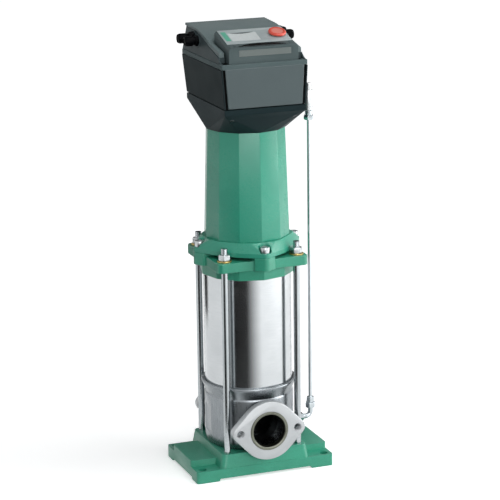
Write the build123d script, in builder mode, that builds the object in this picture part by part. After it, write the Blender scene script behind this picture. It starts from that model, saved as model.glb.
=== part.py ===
from build123d import *
import os
from math import atan, cos, degrees, radians, sin, tan

# Vertical multistage pump, in millimetres. The pump axis is Z, the base stands on Z = 0,
# the inlet and the operating console face -Y and the outlet faces +Y.

os.makedirs("parts", exist_ok=True)

# Clearances
FIT = 0.05  # radial play of a stud, pin, ring or shaft in its hole
SLIP = 0.5  # gap between turning and fixed pieces
JOIN = 0.3  # gap between neighbouring covers

# Ports and oval flanges; the port's radius and height set the casing round them
PORT_BORE = 55.0
PORT_WALL = 2.5
PORT_RISE = 39.0
LIP_W = 2.75
LIP_T = 3.0
LIP_PROUD = 1.5
FLANGE_OUT = 20.0
FLANGE_T = 13.0
FLANGE_R = 49.5
FLANGE_TIP_R = 13.5
FLANGE_HOLES = 100.0
FLANGE_HOLE_D = 12.0

# Pump casing and outer sleeve
CASING_R = 74.0
CASING_T = 2.5
CASING_FOOT_R = CASING_R - 12.0
CREASE_R = CASING_R - 1.7
BEAD_R = CASING_R + 5.0
BEAD_RISE = 107.0
BEAD_WIRE = 3.0
BEAD_CONE = 20.0
SIDE_FLAT = CASING_R - 1.2
SIDE_FLAT_H = 52.0
SLEEVE_R = CASING_R - 1.0
SLEEVE_T = 1.5
SLEEVE_SEAT = 7.0
SLEEVE_SHOWN = 184.0

# Tie rods, just clear of the bead
ROD_D = 11.0
ROD_GAP = 3.88835
ROD_PITCH = (BEAD_R + ROD_GAP + ROD_D / 2) * 2**0.5
ROD_SINK = 20.0
ROD_OUT = 10.0
NUT_AF = 18.0
NUT_H = 10.0
WASHER_D = 24.0
WASHER_T = 2.2

# Base plate
PEDESTAL_T = 43.0
PEDESTAL_L = ROD_PITCH + 23.0
PEDESTAL_W = ROD_PITCH + 22.0
PEDESTAL_CORNER = 9.0
PEDESTAL_DRAFT = 5.0
BASE_L = 241.0
BASE_W = 153.0
BASE_CORNER = 5.0
FOOT_T = 20.0
FOOT_L = 38.5
FOOT_W = 27.0
FOOT_GAP = 4.0
FOOT_TAPER = 25.0
WING_T = 30.5
WING_W = 92.0
DISH_R = CASING_R - 3.7
DISH_DEPTH = 3.0
POCKET_L = 48.0
POCKET_W = 46.0
POCKET_RIB = 8.0
POCKET_ROOF = 8.0
BASE_HOLE_D = 14.0
BASE_HOLE_X = BASE_L - 26.0
BASE_HOLE_Y = BASE_W - 23.0

# Heights and depths that follow from the base and the casing
PORT_Z = PEDESTAL_T + PORT_RISE
PORT_IN = CASING_R - 12.0
LIP_D = PORT_BORE + 2 * (PORT_WALL + LIP_W)
FLANGE_FACE = CASING_R + FLANGE_OUT
BEAD_Z = PEDESTAL_T + BEAD_RISE
CREASE_Z = BEAD_Z - BEAD_CONE

# Pump head
HEAD_SKIRT = 18.0
HEAD_PLATE_T = 16.0
HEAD_R = SLEEVE_R + 5.5
HEAD_Z = BEAD_Z + SLEEVE_SHOWN
HEAD_PLATE_Z = HEAD_Z + HEAD_SKIRT
HEAD_TOP = HEAD_PLATE_Z + HEAD_PLATE_T
HEAD_PLATE = ROD_PITCH + 32.0
HEAD_CORNER = 10.0
HEAD_OVERLAP = 8.0
POST_W = 36.0
POST_RISE = 5.5
BOLT_CIRCLE = 2 * HEAD_R + 8.0
SPLIT_Z = HEAD_TOP + POST_RISE
SEAL_BORE_R = 19.0
SEAL_WELL_R = 25.0
COUPLING_WELL_R = 40.0
COUPLING_WELL = 8.0

# Motor flange, screws and twelve-sided housing
EAR_T = 7.5
EAR_R = 10.0
EAR_TOP = SPLIT_Z + EAR_T
COLLAR_R = BOLT_CIRCLE / 2 - 2.5
COLLAR_H = 15.0
HULL_Z = EAR_TOP + COLLAR_H
HULL_H = 182.6
HULL_TOP = HULL_Z + HULL_H
HULL_R = COLLAR_R - 8.9
FLARE_TOP_R = HULL_R + 2.0
HULL_TOP_R = HULL_R - 5.8
HULL_WALL = 8.3
HULL_BORE_R = HULL_TOP_R - HULL_WALL
MOTOR_BORE_R = HULL_BORE_R + 3.0
SCREW_D = 10.0
SCREW_HEAD_D = 16.0
SCREW_HEAD_H = 10.0
SCREW_KEY = 8.0
SCREW_DEPTH = 17.5
SCREW_POCKET = 2.5

# Hydraulic stack, fitted between the casing's crease and the head
STAGES = 5
STACK_Z = CREASE_Z + 2.0
STAGE_H = (HEAD_Z - 22.0 - STACK_Z) / STAGES
CHAMBER_R = SLEEVE_R - 13.0
CHAMBER_T = 2.0
IMPELLER_R = CHAMBER_R - 10.0
EYE_R = 22.0
SHROUD_T = 1.6
IMPELLER_H = 14.0
VANES = 6
VANE_MID_R = IMPELLER_R * 0.72
VANE_TIP_R = IMPELLER_R * 0.86
VANE_SWEEP = 25.0
VANE_BOW = 9.0
VANE_T = 2.5
GUIDE_VANES = 8
GUIDE_RIM = 3.0
GUIDE_BOW = 8.0
HUB_R = 12.0
HUB_NECK = 4.0
STAGE_GAP = 2.0
PUMP_SHAFT_R = 8.0
PUMP_SHAFT_Z = PORT_Z - 26.0
BUSH_R = 13.0
BUSH_H = 16.0
BUSH_WALL = 3.0
CUP_FLOOR = PORT_Z - 30.0
CUP_FLOOR_R = 38.0
CUP_EYE_R = PORT_BORE / 2 + 1.5
CUP_RIM = 4.0
CUP_FEET = 3
CUP_FOOT_R = 4.0
SEAL_H = 10.0

# Coupling and motor insides
COUPLING_R = 24.0
COUPLING_Z = HEAD_TOP + 6.0
COUPLING_H = 42.0
COUPLING_SCREW_R = 3.0
COUPLING_SCREW_X = COUPLING_R * 0.72
COUPLING_SCREW_L = COUPLING_R * 1.2
SHAFT_MEET = COUPLING_Z + 19.0
SHAFT_GAP = 1.0
MOTOR_SHAFT_R = 12.0
LOWER_BEARING_Z = HULL_Z + 30.0
LOWER_BEARING_R = 26.0
LOWER_BEARING_H = 15.0
CORE_Z = LOWER_BEARING_Z + 36.0
CORE_ROOM = 92.6
CORE_H = HULL_H - CORE_ROOM
CORE_SHAFT_R = 15.0
ROTOR_R = 32.5
AIR_GAP = 0.5
END_RING = 8.0
SLOTS = 12
SLOT_W = 6.0
WINDING_END = 10.0
WINDING_RISE = 2.0
SHIELD_T = 6.0
SHIELD_RING = 6.0
SHIELD_LIP = 4.0
UPPER_BEARING_Z = CORE_Z + CORE_H + 16.0
UPPER_BEARING_R = 23.5
UPPER_BEARING_H = 14.0
UPPER_SHAFT_R = 10.0
FAN_Z = UPPER_BEARING_Z + 19.0
FAN_R = 50.0
FAN_H = 15.0
FAN_BLADES = 7
FAN_T = 2.0

# Converter skirt, from the twelve-sided housing out to a rectangle
SKIRT_LAP = 3.6
SKIRT_FAN = 37.0
SKIRT_BAND = 8.5
SKIRT_Z = HULL_TOP - SKIRT_LAP
SKIRT_R = HULL_TOP_R + 1.5
SKIRT_BAND_Z = SKIRT_Z + SKIRT_FAN
SKIRT_TOP = SKIRT_BAND_Z + SKIRT_BAND
SKIRT_HALF_X = 69.0
SKIRT_FRONT = -93.0
SKIRT_BACK = 88.0
SKIRT_WALL = 4.0
SKIRT_SCREW_SHARE = 0.7
SKIRT_SCREW_R = 2.0
SKIRT_HEAD_R = 3.6
SKIRT_HEAD_T = 1.2
SKIRT_SINK = 1.5

# Converter box
GROOVE_W = 3.3
BOX_GAP = 1.5
BOX_H = 62.0
BOX_Z = SKIRT_TOP + BOX_GAP
BOX_TOP = BOX_Z + BOX_H
BOX_HALF_X = SKIRT_HALF_X + 4.0
BOX_FRONT = SKIRT_FRONT + 1.0
BOX_BACK = SKIRT_BACK + 9.0
PANEL_T = 2.5
CHASSIS_T = 3.0
RIM_H = 8.0
RIM_Z = BOX_TOP + 0.5
RIM_TOP = RIM_Z + RIM_H
RIM_W = 7.0

# Heat sink, board and capacitors
SINK_L = 90.0
SINK_W = 110.0
SINK_T = 4.0
SINK_DEPTH = 15.0
SINK_FINS = 9
SINK_FIN_T = 2.0
SINK_PITCH = 10.0
BOARD_Z = BOX_Z + 18.0
BOARD_T = 1.6
BOARD_L = 2 * SKIRT_HALF_X - 22.0
BOARD_W = 150.0
BOARD_MARGIN = 10.0
POST_R = 3.0
CAPACITOR_R = 12.0
CAPACITOR_H = 35.0
CAPACITOR_PITCH = 30.0

# Cover with its curved lid; its heights stand on the rim
COVER_T = 3.0
COVER_DRAFT = 5.0
COVER_RAKE = 10.0
COVER_HALF_X = BOX_HALF_X - 1.0
COVER_TOP_HALF_X = COVER_HALF_X - COVER_DRAFT
COVER_FRONT = BOX_FRONT + 3.0
COVER_BACK = BOX_BACK - 1.0
COVER_TOP_BACK = COVER_BACK - COVER_RAKE
SWEEP_Y = COVER_FRONT + 9.0
SWEEP_Z = RIM_TOP + 2.8
LID_FRONT = COVER_FRONT + 16.0
LID_FRONT_Z = RIM_TOP + 16.9
LID_BEND_Y = LID_FRONT + 45.0
LID_BEND_Z = LID_FRONT_Z + 8.6
LID_MID_Y = LID_BEND_Y + 36.0
LID_MID_Z = LID_BEND_Z + 11.3
LID_FLAT_Y = LID_MID_Y + 31.0
LID_FLAT_Z = LID_MID_Z + 4.5
LID_BACK = COVER_TOP_BACK + 2.0
LID_CROWN = 2.2
LID_TOP = LID_FLAT_Z + LID_CROWN
LID_T = 4.0
LID_LIP = 8.0
LID_PROUD = 1.5
LATCH_X = COVER_TOP_HALF_X - 3.0
LATCH_Y = LID_BEND_Y + 10.3
LATCH_TOP = LID_BEND_Z + 4.0
LATCH_W = 7.6
LATCH_L = 2.4
LATCH_DEPTH = 2.0

# Console
CONSOLE_HALF_X = COVER_HALF_X - 13.3
CONSOLE_FRONT = BOX_FRONT + 4.0
CONSOLE_BROW_Z = RIM_TOP + 25.0
CONSOLE_EDGE_Y = CONSOLE_FRONT + 17.0
CONSOLE_EDGE_Z = CONSOLE_BROW_Z + 4.0
CONSOLE_DEPTH = 51.3
CONSOLE_TILT = 17.0
CONSOLE_CHAMFER = 3.5
CONSOLE_T = 2.5
CONSOLE_GAP = 1.5
BROW_L = 88.0
BROW_W = 8.0
BROW_DEPTH = 3.0
PANEL_HALF_X = CONSOLE_HALF_X - 3.7
FOIL_T = 1.0
WINDOW_X = -17.5
WINDOW_Y = 24.4
WINDOW_W = 48.0
WINDOW_H = 28.4
LABEL_X = 2.5
LABEL_Z = RIM_TOP + 16.0
LABEL_W = 88.0
LABEL_H = 10.0
LABEL_T = 0.8
KNOB_X = 38.8
KNOB_Y = 26.5
KNOB_R = 14.5
KNOB_H = 5.0
KNOB_LIFT = 1.8
KNOB_BORE = 3.6
ENCODER_R = 3.0
ENCODER_L = 9.0
ENCODER_BUSH_R = 7.0
ENCODER_BUSH = 8.0

# Cable glands and the plug between them
GLAND_RISE = 23.0
GLAND_Z = RIM_TOP + GLAND_RISE
GLAND_YS = (23.5, 56.0)
GLAND_SEAT = COVER_HALF_X - 0.8
GLAND_PAD_R = 10.5
GLAND_AF = 16.0
GLAND_HEX = 5.0
GLAND_NECK_R = 6.8
GLAND_NECK = 4.0
GLAND_CAP_R = 8.2
GLAND_CAP = 13.8
GLAND_MOUTH_R = 5.0
GLAND_MOUTH = 3.0
GLAND_SHANK_R = 7.0
GLAND_SHANK = 8.0
PLUG_Y = 40.0
PLUG_Z = GLAND_Z + 6.5
PLUG_R = 6.2
PLUG_OUT = 9.8
PLUG_SHANK_R = 4.0

# Sensing line
LINE_X = CASING_R + 37.0
LINE_R = 3.0
LINE_PORT_Z = PORT_Z - 17.0
LINE_BOSS_R = 8.0
LINE_BOSS_X = CASING_R + 12.0
LINE_HEX_AF = 13.0
LINE_HEX_X = LINE_BOSS_X + 11.0
ELBOW_R = 4.2
ELBOW_BEND = 9.0
LINE_NUT_AF = 15.0
LINE_NUT_Z = LINE_PORT_Z + 15.0
LINE_NUT_H = 19.0
SENSOR_NUT_Z = SKIRT_Z + 1.0
SENSOR_NUT_H = 16.0
SENSOR_R = 7.5
SENSOR_H = 34.0
SENSOR_TOP = SENSOR_NUT_Z + SENSOR_NUT_H + SENSOR_H
SENSOR_CAP_R = 5.0
SENSOR_CAP = 11.0

SIDES = 12
FLARE_ANGLE = degrees(atan((COLLAR_R - FLARE_TOP_R) * cos(radians(180 / SIDES)) / COLLAR_H))
QUARTERS = (0, 90, 180, 270)


def save(piece, name):
    """Labels a finished piece and writes it to its own file."""
    piece.part.label = name
    export_step(piece.part, f"parts/{name}.step")


def port_plane(side, distance):
    """A plane across a port, facing outwards; side is -1 for the inlet and +1 for the outlet."""
    return Plane(origin=(0, side * distance, PORT_Z), x_dir=(-side, 0, 0), z_dir=(0, side, 0))


def side_plane(side, distance, y=0.0, z=0.0):
    """A plane facing along X on one side of the pump; its own x runs along Y and its y along Z."""
    return Plane(origin=(side * distance, y, z), x_dir=(0, side, 0), z_dir=(side, 0, 0))


# BASE PLATE

with BuildPart() as pedestal:
    low = FOOT_T - FOOT_GAP
    for plane, half, draft, mode in (
        (Plane.XZ, PEDESTAL_L / 2, PEDESTAL_DRAFT, Mode.ADD),
        (Plane.YZ, PEDESTAL_W / 2, PEDESTAL_DRAFT / 2, Mode.INTERSECT),
    ):
        with BuildSketch(plane):
            Polygon(
                (-half - draft, low), (half + draft, low), (half, PEDESTAL_T), (-half, PEDESTAL_T), align=None
            )
        extrude(amount=PEDESTAL_L, both=True, mode=mode)
    fillet(
        pedestal.edges().filter_by(lambda edge: abs(edge.tangent_at(0.5).Z) > 0.5), radius=PEDESTAL_CORNER
    )

# A grey iron casting on four corner feet. A drafted pedestal carries the casing, a raised wing runs
# out to each end, and ribbed pockets lighten it from below.
with BuildPart() as base_plate:
    add(pedestal.part)
    with BuildSketch(Plane.XY):
        RectangleRounded(BASE_L, BASE_W, BASE_CORNER)
    extrude(amount=FOOT_T)
    with BuildSketch(Plane.XY):
        RectangleRounded(BASE_L, WING_W, BASE_CORNER)
    extrude(amount=WING_T)
    with BuildSketch(Plane.XY.offset(PEDESTAL_T)):
        Circle(DISH_R)
    extrude(amount=-DISH_DEPTH, mode=Mode.SUBTRACT)
    with BuildSketch(Plane.XY):
        with GridLocations(POCKET_L + POCKET_RIB, POCKET_W + POCKET_RIB, 2, 2):
            RectangleRounded(POCKET_L, POCKET_W, BASE_CORNER)
    extrude(amount=PEDESTAL_T - DISH_DEPTH - POCKET_ROOF, mode=Mode.SUBTRACT)
    for plane, half in ((Plane.XZ, BASE_L / 2 - FOOT_L), (Plane.YZ, BASE_W / 2 - FOOT_W)):
        slant = FOOT_GAP * tan(radians(FOOT_TAPER))
        with BuildSketch(plane):
            Polygon((-half, 0), (half, 0), (half - slant, FOOT_GAP), (slant - half, FOOT_GAP), align=None)
        extrude(amount=BASE_L, both=True, mode=Mode.SUBTRACT)
    with BuildSketch(Plane.XY):
        with GridLocations(BASE_HOLE_X, BASE_HOLE_Y, 2, 2):
            Circle(BASE_HOLE_D / 2)
    extrude(amount=FOOT_T, mode=Mode.SUBTRACT)
    with BuildSketch(Plane.XY.offset(PEDESTAL_T)):
        with GridLocations(ROD_PITCH, ROD_PITCH, 2, 2):
            Circle(ROD_D / 2 + FIT)
    extrude(amount=-ROD_SINK, mode=Mode.SUBTRACT)
save(base_plate, "base_plate")

# TIE RODS

ROD_TOP = HEAD_TOP + WASHER_T + NUT_H + ROD_OUT

with BuildPart() as tie_rods:
    with BuildSketch(Plane.XY.offset(PEDESTAL_T - ROD_SINK)):
        with GridLocations(ROD_PITCH, ROD_PITCH, 2, 2):
            Circle(ROD_D / 2)
    extrude(amount=ROD_TOP - PEDESTAL_T + ROD_SINK)
    chamfer(tie_rods.edges().group_by(Axis.Z)[-1], length=ROD_D / 10)
save(tie_rods, "tie_rods")

with BuildPart() as rod_washers:
    with BuildSketch(Plane.XY.offset(HEAD_TOP)):
        with GridLocations(ROD_PITCH, ROD_PITCH, 2, 2):
            Circle(WASHER_D / 2)
            Circle(ROD_D / 2 + SLIP, mode=Mode.SUBTRACT)
    extrude(amount=WASHER_T)
save(rod_washers, "rod_washers")

with BuildPart() as rod_nuts:
    with BuildSketch(Plane.XY.offset(HEAD_TOP + WASHER_T)):
        with GridLocations(ROD_PITCH, ROD_PITCH, 2, 2):
            RegularPolygon(NUT_AF / 2, 6, major_radius=False)
            Circle(ROD_D / 2 + FIT, mode=Mode.SUBTRACT)
    extrude(amount=NUT_H)
save(rod_nuts, "rod_nuts")

# PUMP CASING

CASING_Z = PEDESTAL_T - DISH_DEPTH
SLEEVE_Z = BEAD_Z - SLEEVE_SEAT
SLEEVE_TOP = HEAD_Z + HEAD_OVERLAP


# Revolved forms start on this plane, which keeps their seam clear of the ports and side pads.
SEAM = Plane.XZ.rotated((0, 0, 45))
BEAD = (
    (BEAD_R - CASING_T / 2, BEAD_Z - BEAD_WIRE * 2),
    (BEAD_R, BEAD_Z - BEAD_WIRE),
    (BEAD_R, BEAD_Z - BEAD_WIRE / 2),
    (BEAD_R - BEAD_WIRE / 2, BEAD_Z),
)


def casing_form(inset, rim):
    """The round casing as a solid, inset from its outer face, with the given points at its rim."""
    low = CASING_Z + inset
    round_z = CASING_Z + CASING_R - CASING_FOOT_R
    with BuildPart() as form:
        with BuildSketch(SEAM):
            with BuildLine():
                Polyline((0, BEAD_Z), (0, low), (CASING_FOOT_R - inset, low))
                round_r = CASING_R - CASING_FOOT_R
                RadiusArc((CASING_FOOT_R - inset, low), (CASING_R - inset, round_z), -round_r)
                Polyline(
                    (CASING_R - inset, round_z),
                    (CASING_R - inset, CREASE_Z - CASING_T),
                    (CREASE_R - inset, CREASE_Z),
                    *rim,
                    (0, BEAD_Z),
                )
            make_face()
        revolve(axis=Axis.Z)
    return form.part


# The wall is the outer form less its inside. Above the crease it flares into a bead that holds the
# sleeve, which stands on a ledge inside it. Each port is a neck with a rolled lip that traps its
# loose flange.
with BuildPart() as pump_casing:
    add(casing_form(0, BEAD))
    for side in (-1, 1):
        with BuildSketch(port_plane(side, PORT_IN)):
            Circle(PORT_BORE / 2 + PORT_WALL)
        extrude(amount=FLANGE_FACE + LIP_PROUD - PORT_IN)
        with BuildSketch(port_plane(side, FLANGE_FACE + LIP_PROUD)):
            Circle(LIP_D / 2)
        extrude(amount=-LIP_T)
    rims = pump_casing.edges().filter_by(GeomType.CIRCLE)
    fillet([rims.sort_by(Axis.Y)[0], rims.sort_by(Axis.Y)[-1]], radius=LIP_T / 2)
    add(casing_form(CASING_T, [(CREASE_R - CASING_T, BEAD_Z)]), mode=Mode.SUBTRACT)
    with BuildSketch(Plane.XY.offset(SLEEVE_Z)):
        Circle(SLEEVE_R + FIT)
    extrude(amount=BEAD_Z + BEAD_WIRE - SLEEVE_Z, mode=Mode.SUBTRACT)
    for side in (-1, 1):
        with BuildSketch(side_plane(side, SIDE_FLAT, 0, PORT_Z + 2 * CASING_T)):
            Rectangle(CASING_R, SIDE_FLAT_H)
        extrude(amount=CASING_T, mode=Mode.SUBTRACT)
        with BuildSketch(port_plane(side, PORT_IN)):
            Circle(PORT_BORE / 2 + PORT_WALL)
        extrude(amount=CASING_R - PORT_IN)
    for side in (-1, 1):
        with BuildSketch(port_plane(side, 0)):
            Circle(PORT_BORE / 2)
        extrude(amount=FLANGE_FACE + 2 * LIP_T, mode=Mode.SUBTRACT)
    with BuildSketch(side_plane(1, CASING_R - 2 * CASING_T, 0, LINE_PORT_Z)):
        Circle(LINE_BOSS_R)
    extrude(amount=LINE_BOSS_X - CASING_R + 2 * CASING_T)
    with BuildSketch(side_plane(1, CASING_R - 3 * CASING_T, 0, LINE_PORT_Z)):
        Circle(ELBOW_R)
    extrude(amount=LINE_BOSS_X - CASING_R + 3 * CASING_T, mode=Mode.SUBTRACT)
save(pump_casing, "pump_casing")

with BuildPart() as outer_sleeve:
    with BuildSketch(Plane.XY.offset(SLEEVE_Z)):
        Circle(SLEEVE_R)
        Circle(SLEEVE_R - SLEEVE_T, mode=Mode.SUBTRACT)
    extrude(amount=SLEEVE_TOP - SLEEVE_Z)
save(outer_sleeve, "outer_sleeve")


# OVAL FLANGES


def oval_flange(side):
    """A loose two-bolt flange, slipped over its neck behind the rolled lip."""
    with BuildPart() as flange:
        with BuildSketch(port_plane(side, FLANGE_FACE)):
            Circle(FLANGE_R)
            with GridLocations(FLANGE_HOLES, 0, 2, 1):
                Circle(FLANGE_TIP_R)
            make_hull()
        extrude(amount=-FLANGE_T)
        chamfer(flange.faces().sort_by(Axis.Y)[-1 if side < 0 else 0].edges(), length=1)
        with BuildSketch(port_plane(side, FLANGE_FACE)):
            Circle(PORT_BORE / 2 + PORT_WALL + FIT)
            with GridLocations(FLANGE_HOLES, 0, 2, 1):
                Circle(FLANGE_HOLE_D / 2)
        extrude(amount=-FLANGE_T, mode=Mode.SUBTRACT)
        with BuildSketch(port_plane(side, FLANGE_FACE)):
            Circle(LIP_D / 2 + FIT)
        extrude(amount=LIP_PROUD - LIP_T, mode=Mode.SUBTRACT)
    return flange


front_flange = oval_flange(-1)
save(front_flange, "front_flange")
rear_flange = oval_flange(1)
save(rear_flange, "rear_flange")

# PUMP HEAD

# Outline that the motor flange and the posts below it share: twelve sides, with a rounded corner
# drawn out round each motor screw.
with BuildSketch() as lobed_outline:
    RegularPolygon(COLLAR_R, SIDES)
    with PolarLocations(BOLT_CIRCLE / 2, len(QUARTERS)):
        Circle(EAR_R)
    make_hull()

# A casting with a twelve-sided skirt over the sleeve, a square plate for the tie rods and four
# posts that carry the motor. The shaft seal sits in a bore at its centre.
with BuildPart() as pump_head:
    with BuildSketch(Plane.XY.offset(HEAD_Z)):
        RegularPolygon(HEAD_R, SIDES)
    extrude(amount=HEAD_TOP - HEAD_Z)
    with BuildSketch(Plane.XY.offset(HEAD_PLATE_Z)):
        RectangleRounded(HEAD_PLATE, HEAD_PLATE, HEAD_CORNER)
    extrude(amount=HEAD_TOP - HEAD_PLATE_Z)
    with BuildSketch(Plane.XY.offset(HEAD_PLATE_Z)):
        Rectangle(2 * BOLT_CIRCLE, POST_W)
        Rectangle(POST_W, 2 * BOLT_CIRCLE)
        add(lobed_outline.sketch, mode=Mode.INTERSECT)
    extrude(amount=SPLIT_Z - HEAD_PLATE_Z)
    with BuildSketch(Plane.XY.offset(HEAD_Z)):
        Circle(SLEEVE_R + FIT)
    extrude(amount=HEAD_OVERLAP, mode=Mode.SUBTRACT)
    with BuildSketch(Plane.XY.offset(HEAD_TOP)):
        Circle(MOTOR_BORE_R)
    extrude(amount=SPLIT_Z - HEAD_TOP, mode=Mode.SUBTRACT)
    with BuildSketch(Plane.XY.offset(HEAD_TOP - COUPLING_WELL)):
        Circle(COUPLING_WELL_R)
    extrude(amount=COUPLING_WELL, mode=Mode.SUBTRACT)
    with BuildSketch(Plane.XY.offset(HEAD_Z)):
        Circle(SEAL_WELL_R)
    extrude(amount=HEAD_PLATE_Z - HEAD_Z, mode=Mode.SUBTRACT)
    with BuildSketch(Plane.XY.offset(HEAD_Z)):
        Circle(SEAL_BORE_R + FIT)
    extrude(amount=HEAD_TOP - COUPLING_WELL - HEAD_Z - CHAMBER_T, mode=Mode.SUBTRACT)
    with BuildSketch(Plane.XY.offset(HEAD_Z)):
        Circle(PUMP_SHAFT_R + SLIP)
    extrude(amount=HEAD_TOP - HEAD_Z, mode=Mode.SUBTRACT)
    with BuildSketch(Plane.XY.offset(HEAD_TOP)):
        with GridLocations(ROD_PITCH, ROD_PITCH, 2, 2):
            Circle(ROD_D / 2 + SLIP)
    extrude(amount=HEAD_Z - HEAD_TOP, mode=Mode.SUBTRACT)
    with BuildSketch(Plane.XY.offset(SPLIT_Z)):
        with PolarLocations(BOLT_CIRCLE / 2, len(QUARTERS)):
            Circle(SCREW_D / 2 + FIT)
    extrude(amount=-SCREW_DEPTH - SLIP, mode=Mode.SUBTRACT)
save(pump_head, "pump_head")

GUARD_R = MOTOR_BORE_R - 1
with BuildPart() as coupling_guard:
    with BuildSketch(Plane.XY.offset(HEAD_TOP)):
        Circle(GUARD_R)
        Circle(GUARD_R - CHAMBER_T, mode=Mode.SUBTRACT)
    extrude(amount=EAR_TOP - HEAD_TOP)
save(coupling_guard, "coupling_guard")

# MOTOR FLANGE AND HOUSING

# The flare runs in planes from the lobed outline up to the housing, and ends over each corner in a
# steeper plane.
with BuildPart() as flange_flare:
    with BuildSketch(Plane.XY.offset(EAR_TOP)):
        add(lobed_outline.sketch)
    extrude(amount=COLLAR_H, taper=FLARE_ANGLE)
    with BuildSketch(Plane.XY.offset(EAR_TOP)):
        Rectangle(BOLT_CIRCLE + 2 * EAR_R, BOLT_CIRCLE + 2 * EAR_R)
    with BuildSketch(Plane.XY.offset(HULL_Z)):
        Rectangle(2 * FLARE_TOP_R, 2 * FLARE_TOP_R)
    loft(ruled=True, mode=Mode.INTERSECT)

with BuildPart() as motor_flange:
    with BuildSketch(Plane.XY.offset(SPLIT_Z)):
        add(lobed_outline.sketch)
    extrude(amount=EAR_T)
    add(flange_flare.part)
    with BuildSketch(Plane.XY.offset(SPLIT_Z)):
        Circle(MOTOR_BORE_R)
    extrude(amount=HULL_Z - SPLIT_Z, mode=Mode.SUBTRACT)
    with BuildSketch(Plane.XY.offset(EAR_TOP)):
        with PolarLocations(BOLT_CIRCLE / 2, len(QUARTERS)):
            Circle(SCREW_HEAD_D / 2 + SCREW_POCKET)
    extrude(amount=HULL_Z - EAR_TOP, mode=Mode.SUBTRACT)
    with BuildSketch(Plane.XY.offset(SPLIT_Z)):
        with PolarLocations(BOLT_CIRCLE / 2, len(QUARTERS)):
            Circle(SCREW_D / 2 + FIT)
    extrude(amount=EAR_TOP - SPLIT_Z, mode=Mode.SUBTRACT)
save(motor_flange, "motor_flange")

with BuildPart() as motor_screws:
    with BuildSketch(Plane.XY.offset(SPLIT_Z - SCREW_DEPTH)):
        with PolarLocations(BOLT_CIRCLE / 2, len(QUARTERS)):
            Circle(SCREW_D / 2)
    extrude(amount=EAR_TOP - SPLIT_Z + SCREW_DEPTH)
    with BuildSketch(Plane.XY.offset(EAR_TOP)):
        with PolarLocations(BOLT_CIRCLE / 2, len(QUARTERS)):
            Circle(SCREW_HEAD_D / 2)
    extrude(amount=SCREW_HEAD_H)
    with BuildSketch(Plane.XY.offset(EAR_TOP + SCREW_HEAD_H)):
        with PolarLocations(BOLT_CIRCLE / 2, len(QUARTERS)):
            RegularPolygon(SCREW_KEY / 2, 6, major_radius=False)
    extrude(amount=-SCREW_HEAD_H / 2, mode=Mode.SUBTRACT)
save(motor_screws, "motor_screws")

with BuildPart() as motor_housing:
    with BuildSketch(Plane.XY.offset(HULL_Z)):
        RegularPolygon(HULL_R, SIDES)
    with BuildSketch(Plane.XY.offset(HULL_TOP)):
        RegularPolygon(HULL_TOP_R, SIDES)
    loft(ruled=True)
    with BuildSketch(Plane.XY.offset(HULL_Z)):
        Circle(HULL_BORE_R)
    extrude(amount=HULL_TOP - HULL_Z, mode=Mode.SUBTRACT)
save(motor_housing, "motor_housing")

# HYDRAULIC STACK

STACK_TOP = STACK_Z + STAGES * STAGE_H
STAGE_ZS = [STACK_Z + stage * STAGE_H for stage in range(STAGES)]
IMPELLER_Z = CHAMBER_T + STAGE_GAP
GUIDE_Z = IMPELLER_Z + IMPELLER_H + STAGE_GAP
GUIDE_TIP_R = CHAMBER_R - CHAMBER_T - FIT


def cup_form(inset):
    """The bowl that leads the inlet to the first stage, or its inside when inset by the wall."""
    with BuildPart() as form:
        with BuildSketch(SEAM):
            with BuildLine():
                Polyline(
                    (0, CUP_FLOOR + inset),
                    (CUP_FLOOR_R - inset, CUP_FLOOR + inset),
                    (CHAMBER_R - inset, STACK_Z - CUP_RIM),
                    (CHAMBER_R - inset, STACK_Z),
                    (0, STACK_Z),
                    close=True,
                )
            make_face()
        revolve(axis=Axis.Z)
    return form.part


with BuildPart() as inlet_cup:
    add(cup_form(0))
    with BuildSketch(port_plane(-1, PORT_IN - JOIN)):
        Circle(CUP_EYE_R + CHAMBER_T)
    extrude(amount=-CUP_FLOOR_R)
    add(cup_form(CHAMBER_T), mode=Mode.SUBTRACT)
    with BuildSketch(port_plane(-1, PORT_IN)):
        Circle(CUP_EYE_R)
    extrude(amount=-CUP_FLOOR_R, mode=Mode.SUBTRACT)
    with BuildSketch(Plane.XY.offset(CUP_FLOOR)):
        Circle(BUSH_R + BUSH_WALL)
    extrude(amount=BUSH_H)
    with BuildSketch(Plane.XY.offset(CUP_FLOOR + CHAMBER_T)):
        Circle(BUSH_R + FIT)
    extrude(amount=BUSH_H, mode=Mode.SUBTRACT)
    with BuildSketch(Plane.XY.offset(CASING_Z + CASING_T)):
        with PolarLocations(CUP_FLOOR_R - 2 * CUP_FOOT_R, CUP_FEET, 60):
            Circle(CUP_FOOT_R)
    extrude(amount=CUP_FLOOR - CASING_Z - CASING_T)
save(inlet_cup, "inlet_cup")

with BuildPart() as bottom_bush:
    with BuildSketch(Plane.XY.offset(CUP_FLOOR + CHAMBER_T)):
        Circle(BUSH_R)
        Circle(PUMP_SHAFT_R + FIT, mode=Mode.SUBTRACT)
    extrude(amount=BUSH_H - CHAMBER_T)
save(bottom_bush, "bottom_bush")

with BuildPart() as stage_chambers:
    for z in STAGE_ZS:
        with BuildSketch(Plane.XY.offset(z)):
            Circle(CHAMBER_R)
            Circle(EYE_R + SLIP, mode=Mode.SUBTRACT)
        extrude(amount=CHAMBER_T)
        with BuildSketch(Plane.XY.offset(z + CHAMBER_T)):
            Circle(CHAMBER_R)
            Circle(CHAMBER_R - CHAMBER_T, mode=Mode.SUBTRACT)
        extrude(amount=STAGE_H - CHAMBER_T - FIT)
save(stage_chambers, "stage_chambers")

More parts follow.
